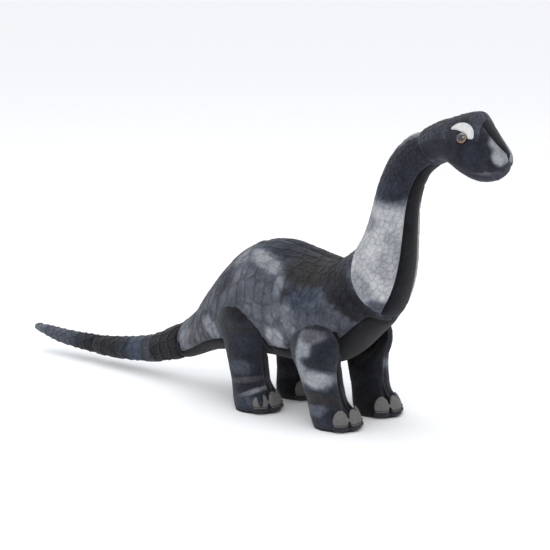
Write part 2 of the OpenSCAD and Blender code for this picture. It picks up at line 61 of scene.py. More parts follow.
poleTurn = math.radians(88.5)     # rings fan round an end this far, and a fan of faces shuts the rest
print("frame loaded")


# numbers and curves

# smooth curve through the rows
def curveAt(rows, u):
    rows = np.array(rows, float)
    last = len(rows) - 1
    u = np.clip(np.atleast_1d(u), 0, last)
    i = np.minimum(u.astype(int), last - 1)
    t = (u - i)[:, None]
    a, b = rows[np.maximum(i - 1, 0)], rows[i]
    c, d = rows[i + 1], rows[np.minimum(i + 2, last)]
    return 0.5 * (2 * b + (c - a) * t + (2 * a - 5 * b + 4 * c - d) * t**2
                  + (3 * b - a - 3 * c + d) * t**3)


def smoothStep(low, high, x):
    t = np.clip((x - low) / (high - low), 0, 1)
    return t * t * (3 - 2 * t)


def unit(v):
    return v / np.maximum(np.linalg.norm(v, axis=-1, keepdims=True), 1e-12)


# whether each point of the side view lies inside the outline, in mm
def insideOutline(outline, x, z):
    inside = np.zeros(x.shape, bool)
    for (x0, z0), (x1, z1) in zip(outline, outline[1:] + outline[:1]):
        if z0 != z1:
            crosses = ((z0 > z) != (z1 > z)) & (x < (x1 - x0) * (z - z0) / (z1 - z0) + x0)
            inside ^= crosses
    return inside


# the cloth as a grid of rings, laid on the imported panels

# rings of rays: middle, the two directions across, and how far the cloth may be
def clothRings(stops, spacing, noseRings, tailRings):
    fine = np.linspace(0, len(stops) - 1, 40 * len(stops))
    path = curveAt(stops, fine)[:, :2]
    run = np.concatenate([[0], np.cumsum(np.linalg.norm(np.diff(path, axis=0), axis=1))])
    count = int(round(run[-1] / spacing)) + 1
    rows = curveAt(stops, np.interp(np.linspace(0, run[-1], count), run, fine))
    lean = np.radians(rows[:, 2])
    zero = np.zeros(count)
    middle = np.stack([rows[:, 0], zero, rows[:, 1]], 1) * mm
    up = np.stack([-np.sin(lean), zero, np.cos(lean)], 1)
    ahead = np.stack([np.cos(lean), zero, np.sin(lean)], 1)
    tilt = zero
    turn = -np.radians(90) * (1 - np.arange(tailRings) / tailRings)
    middle, up, ahead, reach, tilt = addCap(middle, up, ahead, rows[:, 3], tilt, turn, True)
    turn = np.radians(90) * (np.arange(noseRings) + 1) / noseRings
    middle, up, ahead, reach, tilt = addCap(middle, up, ahead, reach, tilt, turn, False)
    return {"middle": middle, "up": up, "ahead": ahead, "reach": reach * mm, "tilt": tilt}


# more rings that fan round one end's middle until they close on its pole
def addCap(middle, up, ahead, reach, tilt, turn, first):
    turn = np.clip(turn, -poleTurn, poleTurn)
    old = [middle, up, ahead, reach, tilt]
    new = [np.repeat(v[:1] if first else v[-1:], len(turn), 0) for v in old[:4]] + [turn]
    return [np.concatenate([n, o] if first else [o, n]) for n, o in zip(new, old)]


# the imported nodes' corners and faces, and which node each face comes from
def gather(nodes):
    verts, faces, owner = [], [], []
    for number, name in enumerate(nodes):
        mesh = frame["nodes"][name].data
        start = len(verts)
        verts += [tuple(v.co) for v in mesh.vertices]
        faces += [[start + i for i in p.vertices] for p in mesh.polygons]
        owner += [number] * len(mesh.polygons)
    return verts, faces, owner


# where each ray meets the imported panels: distance from the middle, and which panel
def layCloth(rings, columns, nodes):
    verts, faces, owner = gather(nodes)
    tree = BVHTree.FromPolygons(verts, faces)
    angle = 2 * math.pi * np.arange(columns) / columns
    flat = (np.cos(angle)[None, :, None] * rings["up"][:, None]
            + np.sin(angle)[None, :, None] * left)
    tilt = rings["tilt"][:, None, None]
    ray = np.cos(tilt) * flat + np.sin(tilt) * rings["ahead"][:, None]
    count = len(rings["middle"])
    radius = np.full((count, columns), np.nan)
    panel = np.full((count, columns), -1)
    for i in range(count):
        reach = float(rings["reach"][i])
        for k in range(columns):
            way = ray[i, k]
            start = rings["middle"][i] + way * reach
            hit = tree.ray_cast(Vector(start), Vector(-way), reach - mm)
            if hit[0] is not None:
                radius[i, k] = reach - hit[3]
                panel[i, k] = owner[hit[2]]
    return ray, radius, panel


# carries the cloth across seam gaps and hip sockets
def fillGaps(radius, panel, rounds=300):
    known = ~np.isnan(radius)
    columns = radius.shape[1]
    turn = np.arange(columns)
    filled = radius.copy()
    whole = np.arange(len(radius))[known.any(1)]
    for i in whole:
        at = turn[known[i]]
        around = np.concatenate([at - columns, at, at + columns])
        filled[i] = np.interp(turn, around, np.tile(radius[i, at], 3))
        nearest = around[np.abs(turn[:, None] - around[None]).argmin(1)] % columns
        panel[i] = panel[i, nearest]
    for i in np.arange(len(radius))[~known.any(1)]:
        near = whole[np.abs(whole - i).argmin()]
        filled[i], panel[i] = filled[near], panel[near]
    for _ in range(rounds):
        up = np.concatenate([filled[:1], filled[:-1]])
        down = np.concatenate([filled[1:], filled[-1:]])
        mean = (np.roll(filled, 1, 1) + np.roll(filled, -1, 1) + up + down) / 4
        filled = np.where(known, filled, mean)
    return filled, panel


# evens out the flat facets: passes along the line for each ring, and round it
def softenFacets(radius, along, around):
    most = int(max(along.max(), 1))
    for _ in range(most):
        up = np.concatenate([radius[:1], radius[:-1]])
        down = np.concatenate([radius[1:], radius[-1:]])
        radius = radius + (along / most)[:, None] * ((up + 2 * radius + down) / 4 - radius)
    for _ in range(around):
        radius = (np.roll(radius, 1, 1) + 2 * radius + np.roll(radius, -1, 1)) / 4
    return radius


# the panel of each face, from its corners, with lone faces joined to their neighbours
def facePanels(panel):
    a, b = panel[:-1], np.roll(panel, -1, 1)[:-1]
    c, d = panel[1:], np.roll(panel, -1, 1)[1:]
    face = np.where((a == b) | (a == c) | (a == d), a, np.where((b == c) | (b == d), b, c))
    for _ in range(4):
        sides = np.stack([np.roll(face, 1, 1), np.roll(face, -1, 1),
                          np.concatenate([face[:1], face[:-1]]),
                          np.concatenate([face[1:], face[-1:]])])
        for s in sides:
            face = np.where((sides == s).sum(0) >= 3, s, face)
    return face


# edges round a ring, and edges along the line, that part two panels
def borderEdges(face):
    rings, columns = face.shape
    ringEdge = np.zeros((rings + 1, columns), bool)
    ringEdge[1:-1] = face[1:] != face[:-1]
    alongEdge = face != np.roll(face, 1, 1)
    return ringEdge, np.concatenate([alongEdge, np.zeros((1, columns), bool)])


# sum over the neighbours that the marked edges lead to, and their number
def neighbourSum(values, ringEdge, alongEdge):
    total = np.zeros(values.shape)
    total += ringEdge[..., None] * np.roll(values, -1, 1)
    total += np.roll(ringEdge, 1, 1)[..., None] * np.roll(values, 1, 1)
    total[:-1] += alongEdge[:-1, :, None] * values[1:]
    total[1:] += alongEdge[:-1, :, None] * values[:-1]
    number = ringEdge + 0 + np.roll(ringEdge, 1, 1) + alongEdge
    number[1:] += alongEdge[:-1]
    return total, number


# turns the stepped borders between panels into smooth seam lines
def evenBorders(place, face, rounds=24):
    ringEdge, alongEdge = borderEdges(face)
    everyRing = np.ones(ringEdge.shape, bool)
    everyAlong = np.ones(alongEdge.shape, bool)
    everyAlong[-1] = False
    border = neighbourSum(place, ringEdge, alongEdge)[1] > 0
    near = border.copy()
    for _ in range(4):
        near = near | np.roll(near, 1, 1) | np.roll(near, -1, 1)
        near[1:] |= near[:-1].copy()
        near[:-1] |= near[1:].copy()
    free = near & ~border
    free[[0, -1]] = False
    for _ in range(rounds):
        total, number = neighbourSum(place, ringEdge, alongEdge)
        mean = total / np.maximum(number, 1)[..., None]
        place = np.where((number == 2)[..., None], 0.5 * place + 0.5 * mean, place)
        total, number = neighbourSum(place, everyRing, everyAlong)
        place = np.where(free[..., None], 0.5 * place + 0.5 * total / number[..., None], place)
    return place, border


def gridNormals(place, middle):
    stepRound = np.roll(place, -1, 1) - np.roll(place, 1, 1)
    along = np.empty_like(place)
    along[1:-1] = place[2:] - place[:-2]
    along[0], along[-1] = place[1] - place[0], place[-1] - place[-2]
    normal = unit(np.cross(along, stepRound))
    if (normal * (place - middle[:, None])).sum() < 0:
        normal = -normal
    return normal


def seamDistance(place, border):
    tree = KDTree(int(border.sum()))
    for i, p in enumerate(place[border]):
        tree.insert(p, i)
    tree.balance()
    return np.array([tree.find(p)[2] for p in place.reshape(-1, 3)]).reshape(place.shape[:2])


# meshes from the grid

# corner numbers of every quad, facing outwards
def gridFaces(rows, columns):
    i, k = np.meshgrid(np.arange(rows - 1), np.arange(columns), indexing="ij")
    a, b = i * columns + k, i * columns + (k + 1) % columns
    return np.stack([a, b, b + columns, a + columns], -1)


# a mesh from arrays; faces is a list of arrays that each hold faces of one size
def newMesh(name, verts, faces):
    mesh = bpy.data.meshes.new(name)
    mesh.vertices.add(len(verts))
    mesh.vertices.foreach_set("co", np.asarray(verts, np.float32).ravel())
    sizes = np.concatenate([np.full(len(f), f.shape[1]) for f in faces])
    corners = np.concatenate([f.ravel() for f in faces])
    mesh.loops.add(len(corners))
    mesh.loops.foreach_set("vertex_index", corners.astype(np.int32))
    mesh.polygons.add(len(sizes))
    mesh.polygons.foreach_set("loop_start", np.concatenate([[0], np.cumsum(sizes)[:-1]]).astype(np.int32))
    mesh.update(calc_edges=True)
    mesh.validate()
    mesh.polygons.foreach_set("use_smooth", np.ones(len(sizes), bool))
    return mesh


def addObject(name, mesh):
    piece = bpy.data.objects.new(name, mesh)
    bpy.context.scene.collection.objects.link(piece)
    return piece


def writeAttribute(mesh, name, kind, values):
    layer = mesh.attributes.new(name, kind, "POINT")
    field = {"FLOAT": "value", "FLOAT_VECTOR": "vector", "FLOAT_COLOR": "color"}[kind]
    layer.data.foreach_set(field, np.asarray(values, np.float32).ravel())


def readAttribute(mesh, name):
    values = np.zeros(len(mesh.vertices), np.float32)
    mesh.attributes[name].data.foreach_get("value", values)
    return values


def positions(mesh):
    values = np.zeros(len(mesh.vertices) * 3, np.float32)
    mesh.vertices.foreach_get("co", values)
    return values.reshape(-1, 3).astype(float)


def movePoints(mesh, points):
    mesh.vertices.foreach_set("co", points.astype(np.float32).ravel())
    mesh.update()


# the middle of a leg's sole, seen from above
def footMiddle(leg):
    low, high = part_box(leg + "_sole")
    return np.array([(low.x + high.x) / 2, (low.y + high.y) / 2])


# says which body carries the piece and which imported node it stands for, and hides that node
def attach(piece, body, node):
    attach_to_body(piece, body)
    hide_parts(node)


# Geometry Nodes: embossed scales

emboss = {"depth": 0.75 * mm, "grooveWidth": 0.16, "randomness": 0.72, "seed": 3.0}


# an empty Geometry Nodes tree with these number inputs
def emptyTree(name, inputs):
    tree = bpy.data.node_groups.new(name, "GeometryNodeTree")
    tree.interface.new_socket("Geometry", in_out="INPUT", socket_type="NodeSocketGeometry")
    for each in inputs:
        tree.interface.new_socket(each, in_out="INPUT", socket_type="NodeSocketFloat")
    tree.interface.new_socket("Geometry", in_out="OUTPUT", socket_type="NodeSocketGeometry")
    given, out = tree.nodes.new("NodeGroupInput"), tree.nodes.new("NodeGroupOutput")
    return tree, tree.nodes, tree.links.new, given, out


# the end of every tree: real geometry in one material
def dressed(nodes, link, geometry, material, out):
    real, paint = nodes.new("GeometryNodeRealizeInstances"), nodes.new("GeometryNodeSetMaterial")
    paint.inputs["Material"].default_value = material
    link(geometry, real.inputs[0])
    link(real.outputs[0], paint.inputs["Geometry"])
    link(paint.outputs[0], out.inputs[0])


# presses rounded scales into the cloth; two cell layouts are mixed by an attribute
def embossTree(material):
    tree, n, link, given, out = emptyTree("embossedScales", ("Depth", "Groove Width", "Randomness", "Seed"))

    def named(name, kind):
        node = n.new("GeometryNodeInputNamedAttribute")
        node.data_type = kind
        node.inputs["Name"].default_value = name
        return node.outputs["Attribute"]

    def pressed(cells):
        shift = n.new("ShaderNodeVectorMath")
        shift.operation = "ADD"
        link(named(cells, "FLOAT_VECTOR"), shift.inputs[0])
        link(given.outputs["Seed"], shift.inputs[1])
        edge = n.new("ShaderNodeTexVoronoi")
        edge.feature = "DISTANCE_TO_EDGE"
        edge.voronoi_dimensions = "2D"
        edge.inputs["Scale"].default_value = 1.0
        link(shift.outputs[0], edge.inputs["Vector"])
        link(given.outputs["Randomness"], edge.inputs["Randomness"])
        rise = n.new("ShaderNodeMapRange")
        rise.interpolation_type = "SMOOTHSTEP"
        link(edge.outputs["Distance"], rise.inputs["Value"])
        link(given.outputs["Groove Width"], rise.inputs["From Max"])
        return rise.outputs["Result"]

    mix = n.new("ShaderNodeMix")
    link(named("cellMix", "FLOAT"), mix.inputs[0])
    link(pressed("cellsFlank"), mix.inputs[2])
    link(pressed("cellsBack"), mix.inputs[3])
    down = mathsNode(n, link, "SUBTRACT", mix.outputs[0], 1.0)
    amount = mathsNode(n, link, "MULTIPLY", down, named("embossed", "FLOAT"))
    move = n.new("ShaderNodeVectorMath")
    move.operation = "SCALE"
    link(n.new("GeometryNodeInputNormal").outputs[0], move.inputs[0])
    link(mathsNode(n, link, "MULTIPLY", amount, given.outputs["Depth"]), move.inputs["Scale"])
    place = n.new("GeometryNodeSetPosition")
    link(given.outputs["Geometry"], place.inputs["Geometry"])
    link(move.outputs[0], place.inputs["Offset"])
    # keeps how deep each point lies in a groove; the plush shader paints shade into the grooves from it
    store = n.new("GeometryNodeStoreNamedAttribute")
    store.data_type, store.domain = "FLOAT", "POINT"
    store.inputs["Name"].default_value = "groove"
    link(place.outputs[0], store.inputs["Geometry"])
    link(mathsNode(n, link, "MULTIPLY", amount, -1.0), store.inputs["Value"])
    dressed(n, link, store.outputs[0], material, out)
    return tree


# runs a Geometry Nodes tree on the piece and returns the result as a plain mesh
def runTree(piece, tree, values):
    modifier = piece.modifiers.new(tree.name, "NODES")
    modifier.node_group = tree
    for item in tree.interface.items_tree:
        if item.item_type == "SOCKET" and item.in_out == "INPUT" and item.name in values:
            modifier[item.identifier] = values[item.name]
    graph = bpy.context.evaluated_depsgraph_get()
    made = bpy.data.meshes.new_from_object(piece.evaluated_get(graph))
    piece.modifiers.remove(modifier)
    return made


# materials

def material(name, settings):
    made = bpy.data.materials.new(name)
    made.use_nodes = True
    shader = made.node_tree.nodes["Principled BSDF"]
    for key, value in settings.items():
        shader.inputs[key].default_value = value
    return made, made.node_tree.nodes, made.node_tree.links.new, shader


def toLinear(r, g, b):
    one = [v / 255 for v in (r, g, b)]
    return tuple(v / 12.92 if v < 0.04045 else ((v + 0.055) / 1.055) ** 2.4 for v in one) + (1.0,)


def attributeNode(nodes, name):
    node = nodes.new("ShaderNodeAttribute")
    node.attribute_name = name
    return node


def noiseNode(nodes, link, where, scale, detail, strength=0.5):
    node = nodes.new("ShaderNodeTexNoise")
    node.inputs["Scale"].default_value = scale
    node.inputs["Detail"].default_value = detail
    node.inputs["Roughness"].default_value = strength
    link(where, node.inputs["Vector"])
    return node.outputs["Fac"]


def mathsNode(nodes, link, kind, a, b, c=None):
    node = nodes.new("ShaderNodeMath")
    node.operation = kind
    for socket, value in zip(node.inputs, (a, b, c)):
        if value is None:
            continue
        if isinstance(value, (int, float)):
            socket.default_value = value
        else:
            link(value, socket)
    return node.outputs[0]


def mixNode(nodes, link, kind, factor, a, b):
    node = nodes.new("ShaderNodeMix")
    node.data_type, node.blend_type = "RGBA", kind
    for socket, value in ((node.inputs[0], factor), (node.inputs[6], a), (node.inputs[7], b)):
        if isinstance(value, (int, float, tuple)):
            socket.default_value = value
        else:
            link(value, socket)
    return node.outputs[2]


def rampNode(nodes, link, where, stops):
    ramp = nodes.new("ShaderNodeValToRGB")
    while len(ramp.color_ramp.elements) < len(stops):
        ramp.color_ramp.elements.new(0.5)
    for element, (at, colour) in zip(ramp.color_ramp.elements, stops):
        element.position, element.color = at, colour
    link(where, ramp.inputs[0])
    return ramp.outputs[0]


# lifts the surface by a height pattern; depth in mm
def bumpNode(nodes, link, shader, height, strength, depth):
    bump = nodes.new("ShaderNodeBump")
    bump.inputs["Strength"].default_value = strength
    bump.inputs["Distance"].default_value = depth * mm
    link(height, bump.inputs["Height"])
    link(bump.outputs[0], shader.inputs["Normal"])


plush = {
    "ramp": [(0.0, (8, 8, 11)), (0.12, (22, 22, 28)), (0.3, (50, 52, 61)), (0.5, (104, 108, 118)),
             (0.72, (178, 181, 187)), (1.0, (250, 250, 250))],
    "blue": (64, 80, 106), "tan": (98, 91, 84),
    "gain": 0.70,
    "cloud": 95.0, "mottle": 420.0, "pile": 2300.0,
}


def plushMaterial():
    made, nodes, link, shader = material("tieDyedPlush", {"Roughness": 0.92, "Specular IOR Level": 0.15,
                                                          "Sheen Weight": 0.12, "Sheen Roughness": 0.5})
    dye = attributeNode(nodes, "dye")
    lay = attributeNode(nodes, "lay").outputs["Vector"]
    groove = attributeNode(nodes, "groove").outputs["Fac"]
    split = nodes.new("ShaderNodeSeparateColor")
    link(dye.outputs["Color"], split.inputs[0])
    cloud = noiseNode(nodes, link, lay, plush["cloud"], 3.0)
    mottle = noiseNode(nodes, link, lay, plush["mottle"], 3.0, 0.6)
    tone = mathsNode(nodes, link, "MULTIPLY_ADD", cloud, 0.3, -0.15)
    tone = mathsNode(nodes, link, "ADD", tone, split.outputs[0])
    speck = mathsNode(nodes, link, "MULTIPLY_ADD", mottle, 0.26, -0.13)
    tone = mathsNode(nodes, link, "ADD", tone, speck)
    colour = rampNode(nodes, link, tone, [(at, toLinear(*colour)) for at, colour in plush["ramp"]])
    brightness = mathsNode(nodes, link, "MULTIPLY_ADD", tone, 1.6, 0.15)
    for channel, tint in ((1, plush["blue"]), (2, plush["tan"])):
        hue = nodes.new("ShaderNodeVectorMath")
        hue.operation = "SCALE"
        hue.inputs[0].default_value = toLinear(*tint)[:3]
        link(brightness, hue.inputs["Scale"])
        colour = mixNode(nodes, link, "MIX", split.outputs[channel], colour, hue.outputs[0])
    # painted shade: the colour is darkened in the embossed grooves, where shade falls, and the whole colour
    # is scaled by the gain
    shade = mathsNode(nodes, link, "MULTIPLY_ADD", groove, -0.36 * plush["gain"], plush["gain"])
    grey = nodes.new("ShaderNodeCombineColor")
    for socket in grey.inputs[:3]:
        link(shade, socket)
    colour = mixNode(nodes, link, "MULTIPLY", 1.0, colour, grey.outputs[0])
    link(colour, shader.inputs["Base Color"])
    pile = noiseNode(nodes, link, lay, plush["pile"], 3.0, 0.65)
    tuft = noiseNode(nodes, link, lay, plush["pile"] / 4, 2.0, 0.5)
    bumpNode(nodes, link, shader, mathsNode(nodes, link, "ADD", pile, tuft), 0.55, 0.5)
    return made


def suedeMaterial(name, light, dark, scale, sheen):
    made, nodes, link, shader = material(name, {"Roughness": 0.85, "Specular IOR Level": 0.2,
                                                "Sheen Weight": sheen})
    where = nodes.new("ShaderNodeTexCoord").outputs["Object"]
    grain = noiseNode(nodes, link, where, scale, 4.0, 0.6)
    fine = noiseNode(nodes, link, where, scale * 6, 2.0, 0.6)
    colour = mixNode(nodes, link, "MIX", grain, toLinear(*dark), toLinear(*light))
    link(colour, shader.inputs["Base Color"])
    bumpNode(nodes, link, shader, fine, 0.35, 0.2)
    return made


plushCloth = plushMaterial()
nailSuede = suedeMaterial("nailSuede", (112, 110, 109), (78, 77, 77), 260.0, 0.1)
soleSuede = suedeMaterial("soleSuede", (44, 44, 50), (26, 26, 31), 300.0, 0.15)
stuffingFibre = suedeMaterial("stuffingFibre", (240, 239, 234), (214, 212, 205), 160.0, 0.3)
pelletCloth = suedeMaterial("pelletCloth", (212, 204, 184), (186, 178, 156), 500.0, 0.1)
print("materials made")


# dye strokes, and one painted highlight on the fore legs, laid one over another, seen from the side, in mm
# along, height, half length, half height, tilt in degrees, tone, blue, tan

bodyStrokes = [
    (30, 95, 90, 60, 0, 0.42, 0.07, 0.0),
    (70, 143, 60, 9, -6, 0.20, 0.17, 0.0),
    (42, 143, 20, 6, 5, 0.30, 0.39, 0.0),
    (52, 131, 26, 6, -16, 0.60, 0.0, 0.0),
    (24, 130, 10, 9, 40, 0.56, 0.0, 0.0),
    (34, 116, 14, 10, 0, 0.50, 0.21, 0.0),
    (75, 117, 5, 12, 0, 0.56, 0.0, 0.0),
    (27, 110, 3, 11, -20, 0.52, 0.0, 0.45),
    (12, 110, 8, 14, -40, 0.30, 0.14, 0.0),
    (97, 126, 26, 11, -8, 0.20, 0.0, 0.34),
    (88, 108, 10, 8, 30, 0.26, 0.0, 0.26),
    (100, 108, 18, 9, 8, 0.36, 0.45, 0.0),
    (72, 95, 10, 14, 0, 0.50, 0.1, 0.0),
    (56, 95, 6, 18, 0, 0.46, 0.07, 0.0),
    (71, 70, 11, 11, 0, 0.66, 0.0, 0.0),
    (88, 88, 8, 18, 8, 0.56, 0.1, 0.0),
    (112, 97, 14, 9, 0, 0.40, 0.24, 0.0),
    (130, 118, 26, 12, -48, 0.20, 0.0, 0.08),
    (148, 100, 24, 9, -50, 0.17, 0.0, 0.04),
    (140, 84, 14, 8, -45, 0.38, 0.14, 0.0),
    (150, 82, 7, 6, 0, 0.58, 0.0, 0.0),
    (-6, 66, 9, 16, 20, 0.62, 0.14, 0.0),
    (-26, 56, 14, 12, 30, 0.46, 0.0, 0.26),
    (-14, 84, 14, 9, 45, 0.42, 0.1, 0.0),
    (-38, 46, 12, 14, 20, 0.48, 0.0, 0.34),
    (-52, 48, 10, 18, 0, 0.56, 0.14, 0.0),
]
neckStrokes = [
    (160, 150, 40, 45, 0, 0.78, 0.0, 0.0),
    (150, 122, 14, 8, -45, 0.66, 0.07, 0.0),
    (161, 103, 10, 8, -50, 0.44, 0.17, 0.0),
    (172, 146, 9, 22, 0, 0.70, 0.0, 0.0),
    (150, 172, 9, 8, 0, 0.62, 0.03, 0.0),
    (176, 214, 60, 26, 0, 0.24, 0.17, 0.0),
    (168, 200, 12, 9, 0, 0.27, 0.32, 0.0),
    (192, 232, 18, 14, 30, 0.20, 0.1, 0.0),
]
headStrokes = {
    "crown": [(235, 250, 60, 40, 0, 0.30, 0.08, 0.0), (250, 262, 12, 12, -30, 0.34, 0.14, 0.0)],
    "muzzle": [(255, 245, 60, 40, 0, 0.20, 0.07, 0.0), (255, 257, 9, 5, -60, 0.42, 0.0, 0.08),
               (261.5, 246, 9, 5, -62, 0.60, 0.0, 0.08), (266, 234, 8, 5, -72, 0.64, 0.0, 0.0)],
    "cheek": [(250, 235, 60, 40, 0, 0.19, 0.15, 0.0), (247, 236, 9, 7, 0, 0.24, 0.28, 0.0)],
    "jaw": [(250, 220, 60, 40, 0, 0.30, 0.08, 0.0), (252, 223, 10, 4, 0, 0.44, 0.0, 0.11),
            (265, 226, 6, 6, 0, 0.34, 0.07, 0.0)],
    "bridge": [(250, 250, 90, 60, 0, 0.10, 0.03, 0.0)],
    "brow": [(236, 254, 60, 40, 0, 0.90, 0.0, 0.0)],
}
tailStrokes = [
    (-150, 25, 160, 60, 0, 0.17, 0.03, 0.04),
    (-92, 34, 22, 40, 0, 0.14, 0.0, 0.11),
    (-108, 25, 6, 40, 0, 0.34, 0.07, 0.11),
    (-124, 25, 11, 40, 0, 0.40, 0.59, 0.0),
    (-142, 20, 7, 40, 0, 0.24, 0.32, 0.0),
    (-166, 20, 18, 40, 0, 0.15, 0.0, 0.15),
    (-236, 20, 34, 40, 0, 0.44, 0.24, 0.0),
    (-262, 20, 12, 40, 0, 0.52, 0.1, 0.0),
]
strapStrokes = [(120, 90, 400, 300, 0, 0.09, 0.03, 0.0)]
# legs: along from the sole's middle, and height
hindStrokes = [
    (0, 50, 60, 80, 0, 0.22, 0.14, 0.0),
    (-6, 92, 24, 12, 0, 0.12, 0.0, 0.04),
    (-6, 74, 20, 5, 0, 0.24, 0.0, 0.11),
    (2, 60, 16, 8, 0, 0.24, 0.21, 0.0),
    (-4, 40, 12, 8, 0, 0.38, 0.24, 0.0),
    (0, 29, 16, 3, 8, 0.38, 0.0, 0.38),
    (0, 23, 16, 3, 8, 0.20, 0.1, 0.0),
    (6, 19, 16, 2.5, 24, 0.54, 0.0, 0.08),
    (0, 8, 20, 8, 0, 0.33, 0.24, 0.0),
]
foreStrokes = [
    (0, 50, 60, 80, 0, 0.25, 0.14, 0.0),
    # painted highlight: this light stroke down the back edge of the fore leg stands for the pile catching
    # the light
    (-20, 62, 9, 30, -10, 0.62, 0.1, 0.0),
    (-10, 86, 16, 6, 0, 0.26, 0.0, 0.0),
    (-12, 78, 12, 6, 0, 0.48, 0.0, 0.22),
    (6, 68, 14, 9, 0, 0.20, 0.21, 0.0),
    (-6, 57, 16, 5, 0, 0.26, 0.1, 0.0),
    (-8, 43, 14, 9, -10, 0.66, 0.0, 0.0),
    (12, 38, 8, 12, 0, 0.16, 0.17, 0.0),
    (-4, 27, 16, 5, -10, 0.22, 0.0, 0.34),
    (-6, 16, 14, 6, 0, 0.46, 0.21, 0.0),
    (8, 12, 10, 8, 0, 0.22, 0.21, 0.0),
]
innerStrokes = {"fore": [(0, 40, 90, 90, 0, 0.08, 0.06, 0.0), (-6, 30, 20, 8, 0, 0.13, 0.07, 0.0)],
                "hind": [(0, 40, 90, 90, 0, 0.20, 0.0, 0.11), (0, 12, 30, 8, 0, 0.12, 0.0, 0.0),
                         (0, 24, 20, 5, 20, 0.30, 0.0, 0.08)]}


# tone, blue and tan at points of the side view, in mm
# the strokes carry dye, and on the fore legs a painted highlight too
def layDyeAndHighlight(x, z, strokes):
    dye = np.tile(np.array(strokes[0][5:], float), (x.size, 1))
    for along, height, length, high, tilt, *colour in strokes[1:]:
        c, s = math.cos(math.radians(tilt)), math.sin(math.radians(tilt))
        dx, dz = x - along, z - height
        away = np.hypot((dx * c + dz * s) / length, (-dx * s + dz * c) / high)
        weight = 1 - smoothStep(0.55, 1.25, away)
        dye += weight[:, None] * (np.array(colour) - dye)
    return np.column_stack([dye, np.ones(x.size)])


# the long cloth from the tail's end to the nose

spine = {
    # along, height, lean of the section in degrees, furthest that the cloth may be, in mm
    "stops": [(-262, 21.5, -8, 14), (-234, 18, -6, 18), (-208, 17, -3, 20), (-184, 17, 0, 22),
              (-134, 21, 5, 26), (-107, 25.5, 8, 28), (-88, 32, 8, 32), (-69, 39, 0, 34),
              (-52, 47, 0, 38), (-36, 58, 0, 46), (-18, 72, -5, 54), (6, 87, -5, 66),
              (40, 94, 1, 72), (75, 91.5, 1, 72), (101, 91, 8, 66), (115, 95.5, 15, 60),
              (128, 105, 29, 52), (140, 115, 48, 48), (151, 130, 58, 42), (158, 148, 65, 36),
              (162, 168, 71, 32), (165, 187, 74, 28), (169, 203, 70, 27), (176, 217, 58, 27),
              (187, 229, 42, 27), (198, 235, 34, 26), (210.5, 240, 24, 30), (225, 240, 13, 38),
              (238, 240, 7, 44), (248, 239, 8, 44), (256, 235, 10, 40)],
    "spacing": 1.05,
    "columns": 288,
    "noseRings": 28,
    "tailRings": 10,
}
spineNodes = (["body_panel_left", "body_panel_right", "rump_panel_left", "rump_panel_right",
               "belly_panel", "neck_panel_left", "neck_panel_right", "throat_panel",
               "crown_panel_left", "crown_panel_right", "nose_bridge_panel",
               "muzzle_panel_left", "muzzle_panel_right", "cheek_panel_left",
               "cheek_panel_right", "jaw_panel", "tail_panel_left", "tail_panel_right",
               "tip_panel_left", "tip_panel_right"])
browOutline = [(225.5, 252), (227.5, 255.5), (231, 258.3), (237, 259.6), (243, 258), (246.3, 254),
               (247, 247.5), (243, 247.2), (240.5, 250.8), (236, 253), (230, 254)]

rings = clothRings(spine["stops"], spine["spacing"], spine["noseRings"], spine["tailRings"])
ray, radius, panel = layCloth(rings, spine["columns"], spineNodes)
print("cloth found on", int((panel >= 0).sum()), "of", panel.size, "rays")
radius, panel = fillGaps(radius, panel)
scaleUp = 1.05 / spine["spacing"]
x = rings["middle"][:, 0] / mm
passes = np.interp(x, [-270, -180, -60, -20, 110, 150, 200, 225, 245, 262],
                   [10, 20, 24, 40, 40, 26, 16, 10, 6, 3]) * scaleUp**2
passes[rings["tilt"] != 0] = 4
radius = softenFacets(radius, passes, int(60 * (spine["columns"] / 288) ** 2))
place = rings["middle"][:, None] + ray * radius[..., None]
face = facePanels(panel)
print("cloth laid")

# seams, brow patches and the embossing's cells

middleX, middleZ = rings["middle"][:, 0] / mm, rings["middle"][:, 2] / mm
sideOf = {"left": 1, "right": -1}
number = {name: i for i, name in enumerate(spineNodes + ["brow_patch_left", "brow_patch_right"])}
neckSeam = {"top": (133, 142), "bottom": (164, 96), "bow": 3.0}     # the neck's sewn edge, from the side


def faceMiddles(place):
    return (place[:-1] + place[1:] + np.roll(place, -1, 1)[:-1] + np.roll(place, -1, 1)[1:]) / 4


# body cloth reaches up to the neck's sewn edge
def moveNeckSeam(face, centre):
    (x0, z0), (x1, z1) = neckSeam["top"], neckSeam["bottom"]
    span = math.hypot(x1 - x0, z1 - z0)
    dx, dz = centre[..., 0] / mm - x0, centre[..., 2] / mm - z0
    t = (dx * (x1 - x0) + dz * (z1 - z0)) / span**2
    beyond = (-dx * (z1 - z0) + dz * (x1 - x0)) / span + neckSeam["bow"] * (1 - (2 * t - 1)**2)
    for side in sideOf:
        neck, body = number["neck_panel_" + side], number["body_panel_" + side]
        face = np.where((face == neck) & (beyond < 0), body, face)
        face = np.where((face == body) & (beyond >= 0), neck, face)
    return face


centre = faceMiddles(place)
face = moveNeckSeam(face, centre)
onBrow = insideOutline(browOutline, centre[..., 0] / mm, centre[..., 2] / mm)
for side, sign in sideOf.items():
    onThisBrow = onBrow & (centre[..., 1] * sign > 5 * mm)
    face = np.where(onThisBrow, number["brow_patch_" + side], face)
steady = (np.abs(rings["tilt"]) > math.radians(70))[:, None, None]     # the poles keep their shape
evened, border = evenBorders(place, face)
place = np.where(steady, place, evened)
normal = gridNormals(place, rings["middle"])
browBorder = neighbourSum(place, *borderEdges((face >= number["brow_patch_left"]) + 0))[1] > 0
seamAway = seamDistance(place, border & ~browBorder) / mm
browAway = seamDistance(place, browBorder) / mm
print("seams found")


